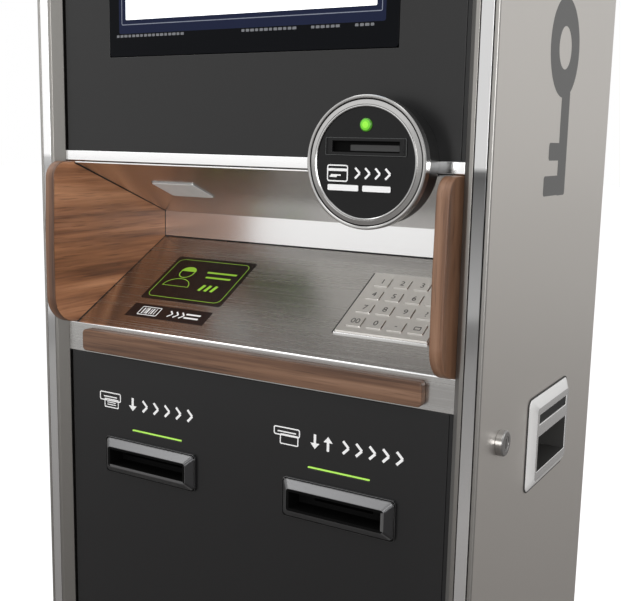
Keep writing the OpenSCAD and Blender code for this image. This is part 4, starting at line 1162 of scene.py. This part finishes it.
rear_low, rear_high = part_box("rear_panel")
ROWS, ROW_END, COLUMN_EDGE = 6, 45 * MM, 9 * MM
row_pitch = (rear_high.z - rear_low.z - 2 * ROW_END) / (ROWS - 1)
screws("rear_panel_screws", [
    (x, rear_y, rear_low.z + ROW_END + i * row_pitch)
    for x in (rear_low.x + COLUMN_EDGE, rear_high.x - COLUMN_EDGE) for i in range(ROWS)], Y)
FAN_REACH = 39 * MM
fan_centre = middle("fan_frame")
screws("fan_screws", [
    (fan_centre.x + sx * FAN_REACH, rear_y, fan_centre.z + sz * FAN_REACH)
    for sx in (-1, 1) for sz in (-1, 1)], Y, radius=2.8)
plinth_low, plinth_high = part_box("base_plinth")
plinth_z = (plinth_low.z + plinth_high.z) / 2
screws("plinth_screws", [
    (x * MM, plinth_low.y + 15.4 * MM, plinth_z) for x in (-190, -60, 60, 184)], -Y, radius=3.6)

# ---- floor, light and camera


def studio_floor():
    """Pale floor that reads near white and keeps a soft shadow."""
    mesh = bpy.data.meshes.new("studio_floor")
    size = 24
    corners = [(-size, -size, 0), (size, -size, 0), (size, size, 0), (-size, size, 0)]
    mesh.from_pydata(corners, [], [(0, 1, 2, 3)])
    floor = link("studio_floor", mesh)
    material, n, shader = start_material("studio_floor", Roughness=0.9)
    tone = n.noise(n.local(), 1.2, 3.0)
    pale = n.ramp(tone, (0.3, (0.72, 0.72, 0.72)), (0.7, (0.76, 0.76, 0.76)))
    seen = n.add("ShaderNodeLightPath").outputs["Is Camera Ray"]
    away = n.add("ShaderNodeVectorMath", operation="LENGTH", Vector=n.local())
    far = n.times(away.outputs["Value"], 1 / 12)
    mirrored = n.ramp(far, (0.08, (0.22, 0.21, 0.205)), (0.55, (0.62, 0.61, 0.60)))
    n.link(n.mix(seen, mirrored, pale), shader.inputs["Base Color"])
    shader.inputs["Emission Color"].default_value = (1, 1, 1, 1)
    n.link(n.times(seen, 0.55), shader.inputs["Emission Strength"])
    mesh.materials.append(material)


def studio_world():
    """White behind the object; in reflections a dark horizon under a bright ceiling."""
    world = bpy.data.worlds.new("studio_world")
    scene.world = world
    world.use_nodes = True
    n = Nodes(world.node_tree)
    world.node_tree.nodes.clear()
    height = n.span(n.height(n.add("ShaderNodeTexCoord").outputs["Generated"]), 0.5, 1.0)
    sky = n.ramp(height, (0.5, (0.58, 0.575, 0.57)), (0.62, (0.63, 0.63, 0.63)), (1.0, (0.72, 0.72, 0.72)))
    back = n.add("ShaderNodeBackground", Strength=1.0)
    seen = n.add("ShaderNodeLightPath").outputs["Is Camera Ray"]
    n.link(n.mix(seen, sky, (1.0, 1.0, 1.0)), back.inputs["Color"])
    n.add("ShaderNodeOutputWorld", Surface=back.outputs[0])


def softbox(name, centre, target, w, h, watts):
    """Rectangular studio light aimed at a point."""
    data = bpy.data.lights.new(name, "AREA")
    data.shape = "RECTANGLE"
    data.size = w
    data.size_y = h
    data.energy = watts
    lamp = bpy.data.objects.new(name, data)
    scene.collection.objects.link(lamp)
    lamp.location = centre
    lamp.rotation_euler = (Vector(target) - Vector(centre)).to_track_quat("-Z", "Y").to_euler()


studio_floor()
studio_world()
softbox("front_left_box", (-2.0, -3.4, 2.15), (0, 0, 1.6), 4.8, 2.6, 17)
softbox("right_box", (2.6, 0.8, 2.1), (0.2, 0, 1.1), 1.6, 1.6, 5)
softbox("ceiling_box", (0.3, -1.0, 3.0), (0, 0, 0.9), 1.6, 1.6, 11)
softbox("low_front_box", (-2.0, -3.4, 0.5), (0, 0, 0.8), 3.6, 0.7, 3.6)
softbox("front_right_box", (1.5, -2.6, 1.35), (0, -0.1, 0.9), 1.2, 1.2, 26)
softbox("upper_left_box", (-1.6, -1.0, 2.9), (0, -0.15, 0.83), 1.4, 1.0, 9)


def set_camera():
    """Camera at the right front, a little above the desk, looking left and down."""
    yaw, pitch, roll = (math.radians(a) for a in (30.63, 9.52, 1.15))
    ahead = Vector((-math.sin(yaw) * math.cos(pitch), math.cos(yaw) * math.cos(pitch), -math.sin(pitch)))
    right = Vector((math.cos(yaw), math.sin(yaw), 0))
    over = right.cross(ahead)
    side = right * math.cos(roll) + over * math.sin(roll)
    over = -right * math.sin(roll) + over * math.cos(roll)
    data = bpy.data.cameras.new("camera")
    data.lens = 55.36
    data.sensor_width = 36
    camera = bpy.data.objects.new("camera", data)
    scene.collection.objects.link(camera)
    camera.matrix_world = Matrix((
        (side.x, over.x, -ahead.x, 0.47215),
        (side.y, over.y, -ahead.y, -0.8233),
        (side.z, over.z, -ahead.z, 1.00956),
        (0, 0, 0, 1)))
    scene.camera = camera


set_camera()
scene.view_settings.view_transform = "Standard"
